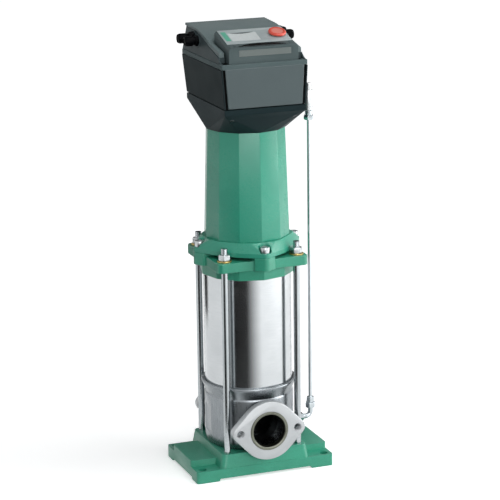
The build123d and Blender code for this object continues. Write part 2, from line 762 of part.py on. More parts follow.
with BuildPart() as guide_vanes:
    for z in STAGE_ZS:
        with BuildSketch(Plane.XY.offset(z + GUIDE_Z)):
            Circle(IMPELLER_R + GUIDE_RIM)
            Circle(HUB_R + SLIP, mode=Mode.SUBTRACT)
        extrude(amount=CHAMBER_T)
        with BuildSketch(Plane.XY.offset(z + GUIDE_Z + CHAMBER_T)):
            with PolarLocations(0, GUIDE_VANES):
                with BuildLine():
                    ThreePointArc((EYE_R, 0), (VANE_MID_R, -GUIDE_BOW), (GUIDE_TIP_R, 0))
                    ThreePointArc((GUIDE_TIP_R, 0), (VANE_MID_R, -GUIDE_BOW - VANE_T), (EYE_R, 0))
                make_face()
        extrude(amount=STAGE_H - GUIDE_Z - CHAMBER_T - FIT)
save(guide_vanes, "guide_vanes")

with BuildPart() as impellers:
    root, tip = (HUB_R + HUB_NECK, 0), (VANE_TIP_R, -VANE_SWEEP)
    for z in STAGE_ZS:
        with BuildSketch(Plane.XY.offset(z + SLIP)):
            Circle(EYE_R)
            Circle(EYE_R - SHROUD_T, mode=Mode.SUBTRACT)
        extrude(amount=IMPELLER_Z - SLIP)
        with BuildSketch(Plane.XY.offset(z + IMPELLER_Z)):
            Circle(IMPELLER_R)
            Circle(EYE_R - SHROUD_T, mode=Mode.SUBTRACT)
        extrude(amount=SHROUD_T)
        with BuildSketch(Plane.XY.offset(z + IMPELLER_Z + SHROUD_T)):
            with PolarLocations(0, VANES):
                with BuildLine():
                    ThreePointArc(root, (VANE_MID_R, -VANE_BOW), tip)
                    ThreePointArc(tip, (VANE_MID_R, VANE_T - VANE_BOW), root)
                make_face()
        extrude(amount=IMPELLER_H - 2 * SHROUD_T)
        with BuildSketch(Plane.XY.offset(z + IMPELLER_Z + IMPELLER_H - SHROUD_T)):
            Circle(IMPELLER_R)
        extrude(amount=SHROUD_T)
        with BuildSketch(Plane.XY.offset(z + IMPELLER_Z)):
            Circle(HUB_R)
        extrude(amount=IMPELLER_H)
        with BuildSketch(Plane.XY.offset(z)):
            Circle(PUMP_SHAFT_R + FIT)
        extrude(amount=STAGE_H, mode=Mode.SUBTRACT)
save(impellers, "impellers")

SEAL_FACE = HEAD_TOP - COUPLING_WELL - CHAMBER_T - SEAL_H
with BuildPart() as spacer_sleeves:
    for stage, z in enumerate(STAGE_ZS):
        low = z + IMPELLER_Z + IMPELLER_H
        with BuildSketch(Plane.XY.offset(low)):
            Circle(HUB_R)
            Circle(PUMP_SHAFT_R + FIT, mode=Mode.SUBTRACT)
        extrude(amount=STAGE_H - IMPELLER_H if stage < STAGES - 1 else STACK_TOP - low)
save(spacer_sleeves, "spacer_sleeves")

with BuildPart() as discharge_spacer:
    with BuildSketch(Plane.XY.offset(STACK_TOP)):
        Circle(CHAMBER_R)
        Circle(CHAMBER_R - CHAMBER_T, mode=Mode.SUBTRACT)
    extrude(amount=SLEEVE_TOP - STACK_TOP)
    with BuildSketch(Plane.XZ):
        with Locations((0, (STACK_TOP + SLEEVE_TOP) / 2)):
            Rectangle(CHAMBER_R, (SLEEVE_TOP - STACK_TOP) / 2)
    extrude(amount=CHAMBER_R, both=True, mode=Mode.SUBTRACT)
    with BuildSketch(Plane.YZ):
        with Locations((0, (STACK_TOP + SLEEVE_TOP) / 2)):
            Rectangle(CHAMBER_R, (SLEEVE_TOP - STACK_TOP) / 2)
    extrude(amount=CHAMBER_R, both=True, mode=Mode.SUBTRACT)
save(discharge_spacer, "discharge_spacer")

with BuildPart() as pump_shaft:
    with BuildSketch(Plane.XY.offset(PUMP_SHAFT_Z)):
        Circle(PUMP_SHAFT_R)
    extrude(amount=SHAFT_MEET - SHAFT_GAP - PUMP_SHAFT_Z)
save(pump_shaft, "pump_shaft")

with BuildPart() as seal_head:
    with BuildSketch(Plane.XY.offset(STACK_TOP)):
        Circle(HUB_R)
        Circle(PUMP_SHAFT_R + FIT, mode=Mode.SUBTRACT)
    extrude(amount=HEAD_Z - STACK_TOP)
    with BuildSketch(Plane.XY.offset(HEAD_Z)):
        Circle(HUB_R + HUB_NECK)
        Circle(PUMP_SHAFT_R + FIT, mode=Mode.SUBTRACT)
    extrude(amount=SEAL_FACE - HEAD_Z - FIT)
save(seal_head, "seal_head")

with BuildPart() as seal_seat:
    with BuildSketch(Plane.XY.offset(SEAL_FACE)):
        Circle(SEAL_BORE_R)
        Circle(PUMP_SHAFT_R + SLIP, mode=Mode.SUBTRACT)
    extrude(amount=HEAD_TOP - COUPLING_WELL - CHAMBER_T - SEAL_FACE)
save(seal_seat, "seal_seat")

# COUPLING

with BuildPart() as coupling_halves:
    with BuildSketch(Plane.XY.offset(COUPLING_Z)):
        Circle(COUPLING_R)
        Circle(PUMP_SHAFT_R + FIT, mode=Mode.SUBTRACT)
    extrude(amount=COUPLING_H)
    with BuildSketch(Plane.XY.offset(SHAFT_MEET)):
        Circle(MOTOR_SHAFT_R + FIT)
    extrude(amount=COUPLING_H, mode=Mode.SUBTRACT)
    with BuildSketch(Plane.XY.offset(COUPLING_Z)):
        Rectangle(2 * COUPLING_R, 2 * SLIP)
    extrude(amount=COUPLING_H, mode=Mode.SUBTRACT)
    for z in (COUPLING_Z + COUPLING_H / 4, COUPLING_Z + COUPLING_H * 3 / 4):
        with BuildSketch(Plane.XZ):
            with Locations((-COUPLING_SCREW_X, z), (COUPLING_SCREW_X, z)):
                Circle(COUPLING_SCREW_R + FIT)
        extrude(amount=COUPLING_R, both=True, mode=Mode.SUBTRACT)
save(coupling_halves, "coupling_halves")

with BuildPart() as coupling_screws:
    for z in (COUPLING_Z + COUPLING_H / 4, COUPLING_Z + COUPLING_H * 3 / 4):
        with BuildSketch(Plane.XZ):
            with Locations((-COUPLING_SCREW_X, z), (COUPLING_SCREW_X, z)):
                Circle(COUPLING_SCREW_R)
        extrude(amount=COUPLING_SCREW_L / 2, both=True)
save(coupling_screws, "coupling_screws")

# MOTOR INSIDES

CORE_TOP = CORE_Z + CORE_H


def bearing_shield(low, radius, height, eye):
    """An end shield across the motor's bore, with a seat for a bearing and an eye for the shaft below it."""
    with BuildPart() as shield:
        with BuildSketch(Plane.XY.offset(low - SHIELD_LIP)):
            Circle(HULL_BORE_R - FIT)
        extrude(amount=SHIELD_T)
        with BuildSketch(Plane.XY.offset(low - SHIELD_LIP)):
            Circle(radius + SHIELD_RING)
        extrude(amount=height + SHIELD_LIP)
        with BuildSketch(Plane.XY.offset(low)):
            Circle(radius + FIT)
        extrude(amount=height, mode=Mode.SUBTRACT)
        with BuildSketch(Plane.XY.offset(low - SHIELD_LIP)):
            Circle(eye)
        extrude(amount=SHIELD_LIP, mode=Mode.SUBTRACT)
    return shield


lower_shield = bearing_shield(LOWER_BEARING_Z, LOWER_BEARING_R, LOWER_BEARING_H, MOTOR_SHAFT_R + 3 * SHAFT_GAP)
save(lower_shield, "lower_shield")

upper_shield = bearing_shield(UPPER_BEARING_Z, UPPER_BEARING_R, UPPER_BEARING_H, CORE_SHAFT_R + 2 * SHAFT_GAP)
save(upper_shield, "upper_shield")

with BuildPart() as lower_bearing:
    with BuildSketch(Plane.XY.offset(LOWER_BEARING_Z)):
        Circle(LOWER_BEARING_R)
        Circle(MOTOR_SHAFT_R + FIT, mode=Mode.SUBTRACT)
    extrude(amount=LOWER_BEARING_H)
save(lower_bearing, "lower_bearing")

with BuildPart() as upper_bearing:
    with BuildSketch(Plane.XY.offset(UPPER_BEARING_Z)):
        Circle(UPPER_BEARING_R)
        Circle(UPPER_SHAFT_R + FIT, mode=Mode.SUBTRACT)
    extrude(amount=UPPER_BEARING_H)
save(upper_bearing, "upper_bearing")

with BuildPart() as motor_shaft:
    with BuildSketch(Plane.XY.offset(SHAFT_MEET + SHAFT_GAP)):
        Circle(MOTOR_SHAFT_R)
    extrude(amount=LOWER_BEARING_Z + LOWER_BEARING_H - SHAFT_MEET)
    with BuildSketch(Plane.XY.offset(LOWER_BEARING_Z + LOWER_BEARING_H + SHAFT_GAP)):
        Circle(CORE_SHAFT_R)
    extrude(amount=UPPER_BEARING_Z - LOWER_BEARING_Z - LOWER_BEARING_H - 2 * SHAFT_GAP)
    with BuildSketch(Plane.XY.offset(UPPER_BEARING_Z - SHAFT_GAP)):
        Circle(UPPER_SHAFT_R)
    extrude(amount=FAN_Z + FAN_H - UPPER_BEARING_Z + 4 * SHAFT_GAP)
save(motor_shaft, "motor_shaft")

with BuildPart() as rotor_core:
    with BuildSketch(Plane.XY.offset(CORE_Z)):
        Circle(ROTOR_R)
        Circle(CORE_SHAFT_R + FIT, mode=Mode.SUBTRACT)
    extrude(amount=CORE_H)
save(rotor_core, "rotor_core")

with BuildPart() as rotor_end_rings:
    for z in (CORE_Z - END_RING, CORE_TOP):
        with BuildSketch(Plane.XY.offset(z)):
            Circle(ROTOR_R - 2 * SLIP)
            Circle(CORE_SHAFT_R + HUB_NECK, mode=Mode.SUBTRACT)
        extrude(amount=END_RING)
save(rotor_end_rings, "rotor_end_rings")

BORE_R = ROTOR_R + AIR_GAP
SLOT_IN = BORE_R + SLOT_W / 2
SLOT_OUT = HULL_BORE_R - WINDING_END

with BuildPart() as stator_core:
    with BuildSketch(Plane.XY.offset(CORE_Z)):
        Circle(HULL_BORE_R - FIT)
        Circle(BORE_R, mode=Mode.SUBTRACT)
        with PolarLocations((SLOT_IN + SLOT_OUT) / 2, SLOTS):
            Rectangle(SLOT_OUT - SLOT_IN, SLOT_W, mode=Mode.SUBTRACT)
    extrude(amount=CORE_H)
save(stator_core, "stator_core")

with BuildPart() as stator_windings:
    with BuildSketch(Plane.XY.offset(CORE_Z - WINDING_END)):
        with PolarLocations((SLOT_IN + SLOT_OUT) / 2, SLOTS):
            Rectangle(SLOT_OUT - SLOT_IN - 2 * SLIP, SLOT_W - 2 * SLIP)
    extrude(amount=CORE_H + 2 * WINDING_END)
    for z in (CORE_Z - WINDING_END - WINDING_RISE, CORE_TOP + WINDING_RISE):
        with BuildSketch(Plane.XY.offset(z)):
            Circle(SLOT_OUT + WINDING_RISE)
            Circle(SLOT_IN, mode=Mode.SUBTRACT)
        extrude(amount=WINDING_END)
save(stator_windings, "stator_windings")

with BuildPart() as cooling_fan:
    with BuildSketch(Plane.XY.offset(FAN_Z)):
        Circle(FAN_R)
    extrude(amount=FAN_T)
    with BuildSketch(Plane.XY.offset(FAN_Z)):
        Circle(2 * UPPER_SHAFT_R)
    extrude(amount=FAN_H)
    with BuildSketch(Plane.XY.offset(FAN_Z + FAN_T)):
        with PolarLocations((FAN_R + UPPER_SHAFT_R) / 2, FAN_BLADES):
            Rectangle(FAN_R - UPPER_SHAFT_R, FAN_T)
    extrude(amount=FAN_H - FAN_T)
    with BuildSketch(Plane.XY.offset(FAN_Z)):
        Circle(UPPER_SHAFT_R + FIT)
    extrude(amount=FAN_H, mode=Mode.SUBTRACT)
save(cooling_fan, "cooling_fan")

# CONVERTER SKIRT

SKIRT_MID_Y = (SKIRT_FRONT + SKIRT_BACK) / 2
SKIRT_HALF_Y = (SKIRT_BACK - SKIRT_FRONT) / 2


def twelve_corner(turn, radius, z):
    """A corner of the twelve-sided section, at an angle in degrees."""
    return Vector(radius * cos(radians(turn)), radius * sin(radians(turn)), z)


def skirt_corner(turn):
    """The corner of the rectangle that faces a quarter, given by the angle at its middle."""
    x = SKIRT_HALF_X if cos(radians(turn)) > 0 else -SKIRT_HALF_X
    y = SKIRT_BACK if sin(radians(turn)) > 0 else SKIRT_FRONT
    return Vector(x, y, SKIRT_BAND_Z)


def facet_planes():
    """The flat facets between the twelve-sided foot and the rectangular band, facing outwards."""
    facets = []
    for turn in QUARTERS:
        foot = twelve_corner(turn, SKIRT_R, SKIRT_Z)
        facets.append((foot, skirt_corner(turn - 45), skirt_corner(turn + 45)))
        for step in (0, 30, 60):
            first = twelve_corner(turn + step, SKIRT_R, SKIRT_Z)
            second = twelve_corner(turn + step + 30, SKIRT_R, SKIRT_Z)
            facets.append((first, skirt_corner(turn + 45), second))
    planes = []
    for a, b, c in facets:
        normal = (b - a).cross(c - a).normalized()
        middle = Vector(0, 0, SKIRT_BAND_Z)
        if (middle - a).dot(normal) > 0:
            normal = -normal
        planes.append(Plane(origin=a, z_dir=normal))
    return planes


def faceted_form(inset):
    """The funnel between the two sections, cut out of a block facet by facet."""
    with BuildPart() as form:
        with BuildSketch(Plane.XY.offset(SKIRT_Z)):
            with Locations((0, SKIRT_MID_Y)):
                Rectangle(2 * (SKIRT_HALF_X - inset), 2 * (SKIRT_HALF_Y - inset))
        extrude(amount=SKIRT_TOP - SKIRT_Z)
        for plane in facet_planes():
            split(bisect_by=plane.offset(-inset), keep=Keep.BOTTOM)
    return form.part


def screw_plane(side, end):
    """The facet that holds a screw near one corner of the skirt, facing outwards."""
    a = Vector(side * SKIRT_HALF_X, SKIRT_BACK if end > 0 else SKIRT_FRONT, SKIRT_BAND_Z)
    b = twelve_corner(90 * end, SKIRT_R, SKIRT_Z)
    c = twelve_corner(90 * end - 30 * side * end, SKIRT_R, SKIRT_Z)
    normal = (b - a).cross(c - a).normalized() * side * -end
    return Plane(origin=a * SKIRT_SCREW_SHARE + (b + c) * (1 - SKIRT_SCREW_SHARE) / 2, z_dir=normal)


SCREW_PLANES = [screw_plane(side, end) for side in (-1, 1) for end in (-1, 1)]

with BuildPart() as converter_skirt:
    add(faceted_form(0))
    add(faceted_form(SKIRT_WALL), mode=Mode.SUBTRACT)
    with BuildSketch(Plane.XY.offset(SKIRT_Z)):
        RegularPolygon(HULL_TOP_R + JOIN, SIDES)
    extrude(amount=HULL_TOP - SKIRT_Z, mode=Mode.SUBTRACT)
    for plane in SCREW_PLANES:
        with BuildSketch(plane):
            Circle(SKIRT_HEAD_R + JOIN)
        extrude(amount=-SKIRT_SINK, mode=Mode.SUBTRACT)
        with BuildSketch(plane):
            Circle(SKIRT_SCREW_R + FIT)
        extrude(amount=-3 * SKIRT_WALL, mode=Mode.SUBTRACT)
save(converter_skirt, "converter_skirt")

with BuildPart() as skirt_screws:
    for plane in SCREW_PLANES:
        with BuildSketch(plane.offset(-SKIRT_SINK)):
            Circle(SKIRT_HEAD_R)
        extrude(amount=SKIRT_HEAD_T)
        with BuildSketch(plane.offset(-SKIRT_SINK)):
            Circle(SKIRT_SCREW_R)
        extrude(amount=-2 * SKIRT_WALL)
save(skirt_screws, "skirt_screws")

# CONVERTER BOX


def box_section(z, inset):
    """Half width, front and back of the converter box at a height, inset from its outer faces."""
    share = (z - BOX_Z) / (BOX_TOP - BOX_Z)
    half_x = SKIRT_HALF_X + (BOX_HALF_X - SKIRT_HALF_X) * share - inset
    front = SKIRT_FRONT + (BOX_FRONT - SKIRT_FRONT) * share + inset
    back = SKIRT_BACK + (BOX_BACK - SKIRT_BACK) * share - inset
    return half_x, front, back


def box_form(inset, low, high):
    """The converter box between two heights as a solid, inset from its outer faces."""
    with BuildPart() as form:
        for z in (low, high):
            half_x, front, back = box_section(z, inset)
            with BuildSketch(Plane.XY.offset(z)):
                with Locations((0, (front + back) / 2)):
                    Rectangle(2 * half_x, back - front)
        loft(ruled=True)
    return form.part


def front_form(inset):
    """The part of the box just behind its front face, inset from the two sides."""
    with BuildPart() as form:
        for z in (BOX_Z, BOX_TOP):
            half_x, front, _ = box_section(z, inset)
            with BuildSketch(Plane.XY.offset(z)):
                with Locations((0, front - inset)):
                    Rectangle(2 * half_x, 3 * PANEL_T)
        loft(ruled=True)
    return form.part


# The chassis is an open tray on the skirt. The panels hang on its outside, and it shows as a dark
# line in the grooves between them.
with BuildPart() as converter_chassis:
    add(box_form(PANEL_T, SKIRT_TOP, RIM_Z))
    add(box_form(PANEL_T + CHASSIS_T, SKIRT_TOP + CHASSIS_T, RIM_Z), mode=Mode.SUBTRACT)
    with BuildSketch(Plane.XY.offset(SKIRT_TOP)):
        Rectangle(SINK_L + JOIN, SINK_W + JOIN)
    extrude(amount=CHASSIS_T, mode=Mode.SUBTRACT)
    with BuildSketch(Plane.XY.offset(SKIRT_TOP)):
        with GridLocations(BOARD_L - BOARD_MARGIN, BOARD_W - BOARD_MARGIN, 2, 2):
            Circle(POST_R)
    extrude(amount=BOARD_Z - SKIRT_TOP)
save(converter_chassis, "converter_chassis")

with BuildPart() as side_shroud:
    add(box_form(0, BOX_Z, BOX_TOP))
    add(box_form(PANEL_T, BOX_Z, BOX_TOP), mode=Mode.SUBTRACT)
    add(front_form(PANEL_T), mode=Mode.SUBTRACT)
save(side_shroud, "side_shroud")

with BuildPart() as front_panel:
    add(box_form(0, BOX_Z, BOX_TOP))
    add(box_form(PANEL_T, BOX_Z, BOX_TOP), mode=Mode.SUBTRACT)
    add(front_form(PANEL_T + GROOVE_W), mode=Mode.INTERSECT)
save(front_panel, "front_panel")

with BuildPart() as rim_frame:
    with BuildSketch(Plane.XY.offset(RIM_Z)):
        with Locations((0, (BOX_FRONT + BOX_BACK) / 2)):
            RectangleRounded(2 * BOX_HALF_X, BOX_BACK - BOX_FRONT, CHASSIS_T)
            Rectangle(2 * (BOX_HALF_X - RIM_W), BOX_BACK - BOX_FRONT - 2 * RIM_W, mode=Mode.SUBTRACT)
    extrude(amount=RIM_TOP - RIM_Z)
save(rim_frame, "rim_frame")

with BuildPart() as heat_sink:
    with BuildSketch(Plane.XY.offset(SKIRT_TOP + CHASSIS_T)):
        Rectangle(SINK_L + 2 * CHASSIS_T, SINK_W + 2 * CHASSIS_T)
    extrude(amount=SINK_T)
    with BuildSketch(Plane.XY.offset(SKIRT_TOP + CHASSIS_T)):
        with GridLocations(SINK_PITCH, 0, SINK_FINS, 1):
            Rectangle(SINK_FIN_T, SINK_W)
    extrude(amount=-SINK_DEPTH)
save(heat_sink, "heat_sink")

with BuildPart() as power_board:
    with BuildSketch(Plane.XY.offset(BOARD_Z)):
        Rectangle(BOARD_L, BOARD_W)
    extrude(amount=BOARD_T)
save(power_board, "power_board")

with BuildPart() as capacitors:
    with BuildSketch(Plane.XY.offset(BOARD_Z + BOARD_T)):
        with GridLocations(CAPACITOR_PITCH, CAPACITOR_PITCH, 2, 2):
            Circle(CAPACITOR_R)
    extrude(amount=CAPACITOR_H)
save(capacitors, "capacitors")

# COVER


def lid_line(drop_back, drop_front):
    """Draws the lid's curved side view, lowered by one amount behind and by another in front."""
    drop = (drop_back + drop_front) / 2
    flat = (LID_FLAT_Y, LID_FLAT_Z - drop_back)
    bend = (LID_BEND_Y, LID_BEND_Z - drop)
    Line((LID_BACK, LID_TOP - drop_back), flat)
    ThreePointArc(flat, (LID_MID_Y, LID_MID_Z - drop), bend)
    Line(bend, (LID_FRONT, LID_FRONT_Z - drop_front))


def cover_form(inset, front):
    """The cover's leaning side and back walls as a solid, inset from their outer faces."""
    with BuildPart() as form:
        for z, half_x, back in (
            (RIM_TOP, COVER_HALF_X, COVER_BACK),
            (LID_TOP, COVER_TOP_HALF_X, COVER_TOP_BACK),
        ):
            with BuildSketch(Plane.XY.offset(z)):
                with Locations((0, (front + back - inset) / 2)):
                    Rectangle(2 * (half_x - inset), back - inset - front)
        loft(ruled=True)
    return form.part


CHANNEL_HALF_X = CONSOLE_HALF_X + CONSOLE_GAP
CHANNEL_BACK = CONSOLE_EDGE_Y + CONSOLE_DEPTH * cos(radians(CONSOLE_TILT)) + CONSOLE_GAP

# The cover's walls rise to the underside of the lid. In front they sweep down to the rim in a hollow
# curve either side of the console, and round pads on the sides carry the cable glands.
with BuildPart() as cover_base:
    add(cover_form(0, COVER_FRONT))
    with BuildSketch(Plane.YZ):
        with BuildLine():
            lid_line(LID_T, LID_LIP)
            ThreePointArc((LID_FRONT, LID_FRONT_Z - LID_LIP), (SWEEP_Y, SWEEP_Z), (COVER_FRONT, RIM_TOP))
            Polyline((COVER_FRONT, RIM_TOP), (BOX_BACK, RIM_TOP), (LID_BACK, LID_TOP - LID_T))
        make_face()
    extrude(amount=BOX_HALF_X, both=True, mode=Mode.INTERSECT)
    add(cover_form(COVER_T, LID_FRONT + COVER_T), mode=Mode.SUBTRACT)
    with BuildSketch(Plane.XY.offset(RIM_TOP)):
        with Locations((0, COVER_FRONT)):
            Rectangle(2 * CHANNEL_HALF_X, 2 * (LID_FRONT + COVER_T - COVER_FRONT))
            Rectangle(2 * (COVER_HALF_X - COVER_T), 2 * (LID_FRONT - COVER_FRONT))
    extrude(amount=LID_TOP - RIM_TOP, mode=Mode.SUBTRACT)
    for side in (-1, 1):
        with BuildSketch(side_plane(side, GLAND_SEAT)):
            for y in GLAND_YS:
                with Locations((side * y, GLAND_Z)):
                    Circle(GLAND_PAD_R)
            with Locations((side * PLUG_Y, PLUG_Z)):
                Circle(PLUG_R + 1)
        extrude(amount=-GLAND_SHANK)
    for side in (-1, 1):
        with BuildSketch(side_plane(side, GLAND_SEAT)):
            for y in GLAND_YS:
                with Locations((side * y, GLAND_Z)):
                    Circle(GLAND_SHANK_R + FIT)
            with Locations((side * PLUG_Y, PLUG_Z)):
                Circle(PLUG_SHANK_R + FIT)
        extrude(amount=-2 * GLAND_SHANK, mode=Mode.SUBTRACT)
save(cover_base, "cover_base")

with BuildPart() as cover_lid:
    with BuildSketch(Plane.YZ):
        with BuildLine():
            lid_line(0, 0)
            lid_line(LID_T, LID_LIP)
            Line((LID_BACK, LID_TOP), (LID_BACK, LID_TOP - LID_T))
            Line((LID_FRONT, LID_FRONT_Z), (LID_FRONT, LID_FRONT_Z - LID_LIP))
        make_face()
    extrude(amount=COVER_TOP_HALF_X + LID_PROUD, both=True)
    with BuildSketch(Plane.XY.offset(RIM_TOP)):
        with Locations((0, (LID_FRONT - COVER_T + CHANNEL_BACK) / 2)):
            Rectangle(2 * CHANNEL_HALF_X, CHANNEL_BACK - LID_FRONT + COVER_T)
    extrude(amount=LID_TOP - RIM_TOP, mode=Mode.SUBTRACT)
    with BuildSketch(Plane.XY.offset(LID_TOP)):
        with GridLocations(2 * LATCH_X, 0, 2, 1):
            with Locations((0, LATCH_Y)):
                Rectangle(LATCH_W, LATCH_L)
    extrude(amount=LATCH_TOP - LATCH_DEPTH - LID_TOP, mode=Mode.SUBTRACT)
save(cover_lid, "cover_lid")

with BuildPart() as gland_bodies:
    for side in (-1, 1):
        with BuildSketch(side_plane(side, GLAND_SEAT)):
            for y in GLAND_YS:
                with Locations((side * y, GLAND_Z)):
                    RegularPolygon(GLAND_AF / 2, 6, major_radius=False)
        extrude(amount=GLAND_HEX)
        with BuildSketch(side_plane(side, GLAND_SEAT)):
            for y in GLAND_YS:
                with Locations((side * y, GLAND_Z)):
                    Circle(GLAND_NECK_R)
        extrude(amount=GLAND_HEX + GLAND_NECK + GLAND_CAP - GLAND_MOUTH)
        with BuildSketch(side_plane(side, GLAND_SEAT)):
            for y in GLAND_YS:
                with Locations((side * y, GLAND_Z)):
                    Circle(GLAND_SHANK_R)
        extrude(amount=-GLAND_SHANK)
save(gland_bodies, "gland_bodies")

with BuildPart() as gland_caps:
    for side in (-1, 1):
        cap = GLAND_SEAT + GLAND_HEX + GLAND_NECK
        with BuildSketch(side_plane(side, cap)):
            for y in GLAND_YS:
                with Locations((side * y, GLAND_Z)):
                    Circle(GLAND_CAP_R)
        extrude(amount=GLAND_CAP)
        with BuildSketch(side_plane(side, cap)):
            for y in GLAND_YS:
                with Locations((side * y, GLAND_Z)):
                    Circle(GLAND_NECK_R + FIT)
        extrude(amount=GLAND_CAP - GLAND_MOUTH, mode=Mode.SUBTRACT)
        with BuildSketch(side_plane(side, cap)):
            for y in GLAND_YS:
                with Locations((side * y, GLAND_Z)):
                    Circle(GLAND_MOUTH_R)
        extrude(amount=GLAND_CAP, mode=Mode.SUBTRACT)
save(gland_caps, "gland_caps")

with BuildPart() as blanking_plugs:
    for side in (-1, 1):
        with BuildSketch(side_plane(side, GLAND_SEAT)):
            with Locations((side * PLUG_Y, PLUG_Z)):
                Circle(PLUG_R)
        extrude(amount=PLUG_OUT)
        with BuildSketch(side_plane(side, GLAND_SEAT)):
            with Locations((side * PLUG_Y, PLUG_Z)):
                Circle(PLUG_SHANK_R)
        extrude(amount=-GLAND_SHANK)
save(blanking_plugs, "blanking_plugs")

# CONSOLE

TILT = radians(CONSOLE_TILT)
CONSOLE_BACK_Y = CONSOLE_EDGE_Y + CONSOLE_DEPTH * cos(TILT)
CONSOLE_BACK_Z = CONSOLE_EDGE_Z + CONSOLE_DEPTH * sin(TILT)
DESK = Plane(origin=(0, CONSOLE_EDGE_Y, CONSOLE_EDGE_Z), x_dir=(1, 0, 0), z_dir=(0, -sin(TILT), cos(TILT)))
BROW = Plane(
    origin=(0, (CONSOLE_FRONT + CONSOLE_EDGE_Y) / 2, (CONSOLE_BROW_Z + CONSOLE_EDGE_Z) / 2),
    x_dir=(1, 0, 0),
    z_dir=(0, CONSOLE_BROW_Z - CONSOLE_EDGE_Z, CONSOLE_EDGE_Y - CONSOLE_FRONT),
)
FACE = Plane(origin=(LABEL_X, CONSOLE_FRONT, LABEL_Z), x_dir=(1, 0, 0), z_dir=(0, -1, 0))

with BuildPart() as console_housing:
    with BuildSketch(Plane.YZ):
        Polygon(
            (CONSOLE_FRONT, RIM_TOP),
            (CONSOLE_BACK_Y, RIM_TOP),
            (CONSOLE_BACK_Y, CONSOLE_BACK_Z),
            (CONSOLE_EDGE_Y, CONSOLE_EDGE_Z),
            (CONSOLE_FRONT, CONSOLE_BROW_Z),
            align=None,
        )
    extrude(amount=CONSOLE_HALF_X, both=True)
    tops = console_housing.faces().filter_by(lambda f: f.normal_at().Z > 0.5)
    sides = tops.edges().filter_by(lambda e: abs(abs(e.center().X) - CONSOLE_HALF_X) < FIT)
    chamfer(sides, length=CONSOLE_CHAMFER)
    with BuildSketch(Plane.YZ):
        Polygon(
            (CONSOLE_FRONT + CONSOLE_T, RIM_TOP),
            (CONSOLE_BACK_Y - CONSOLE_T, RIM_TOP),
            (CONSOLE_BACK_Y - CONSOLE_T, CONSOLE_BACK_Z - 2 * CONSOLE_T),
            (CONSOLE_EDGE_Y, CONSOLE_EDGE_Z - 2 * CONSOLE_T),
            (CONSOLE_FRONT + CONSOLE_T, CONSOLE_BROW_Z - 2 * CONSOLE_T),
            align=None,
        )
    extrude(amount=CONSOLE_HALF_X - CONSOLE_T, both=True, mode=Mode.SUBTRACT)
    with BuildSketch(DESK):
        with Locations((KNOB_X, KNOB_Y)):
            Circle(ENCODER_BUSH_R)
    extrude(amount=-ENCODER_BUSH - FOIL_T)
    with BuildSketch(DESK):
        with Locations((0, CONSOLE_DEPTH / 2)):
            Rectangle(2 * PANEL_HALF_X + 2 * FIT, CONSOLE_DEPTH)
    extrude(amount=-FOIL_T, mode=Mode.SUBTRACT)
    with BuildSketch(DESK):
        with Locations((KNOB_X, KNOB_Y)):
            Circle(ENCODER_R + FIT)
    extrude(amount=-2 * ENCODER_BUSH, mode=Mode.SUBTRACT)
    with BuildSketch(BROW):
        with BuildLine():
            ThreePointArc((-BROW_L / 2, BROW_W / 2), (0, -BROW_W / 2), (BROW_L / 2, BROW_W / 2))
            Line((BROW_L / 2, BROW_W / 2), (-BROW_L / 2, BROW_W / 2))
        make_face()
    extrude(amount=-BROW_DEPTH, mode=Mode.SUBTRACT)
    with BuildSketch(FACE):
        Rectangle(LABEL_W + 2 * FIT, LABEL_H + 2 * FIT)
    extrude(amount=-LABEL_T, mode=Mode.SUBTRACT)
save(console_housing, "console_housing")

with BuildPart() as label_plate:
    with BuildSketch(FACE.offset(-LABEL_T)):
        Rectangle(LABEL_W, LABEL_H)
    extrude(amount=LABEL_T)
save(label_plate, "label_plate")

with BuildPart() as display_panel:
    with BuildSketch(DESK.offset(-FOIL_T)):
        with Locations((0, CONSOLE_DEPTH / 2)):
            Rectangle(2 * PANEL_HALF_X, CONSOLE_DEPTH)
        with Locations((WINDOW_X, WINDOW_Y)):
            Rectangle(WINDOW_W, WINDOW_H, mode=Mode.SUBTRACT)
        with Locations((KNOB_X, KNOB_Y)):
            Circle(ENCODER_R + SLIP, mode=Mode.SUBTRACT)
    extrude(amount=FOIL_T)
save(display_panel, "display_panel")

with BuildPart() as display_window:
    with BuildSketch(DESK.offset(-FOIL_T)):
        with Locations((WINDOW_X, WINDOW_Y)):
            Rectangle(WINDOW_W, WINDOW_H)
    extrude(amount=FOIL_T)
save(display_window, "display_window")

with BuildPart() as encoder_plunger:
    with BuildSketch(DESK.offset(KNOB_LIFT + KNOB_BORE - SLIP)):
        with Locations((KNOB_X, KNOB_Y)):
            Circle(ENCODER_R)
    extrude(amount=-ENCODER_L - KNOB_LIFT - KNOB_BORE)
save(encoder_plunger, "encoder_plunger")

with BuildPart() as control_knob:
    with BuildSketch(DESK.offset(KNOB_LIFT)):
        with Locations((KNOB_X, KNOB_Y)):
            Circle(KNOB_R)
    extrude(amount=KNOB_H)
    with BuildSketch(DESK.offset(KNOB_LIFT)):
        with Locations((KNOB_X, KNOB_Y)):
            Circle(ENCODER_R + FIT)
    extrude(amount=KNOB_BORE, mode=Mode.SUBTRACT)
save(control_knob, "control_knob")

# SENSING LINE

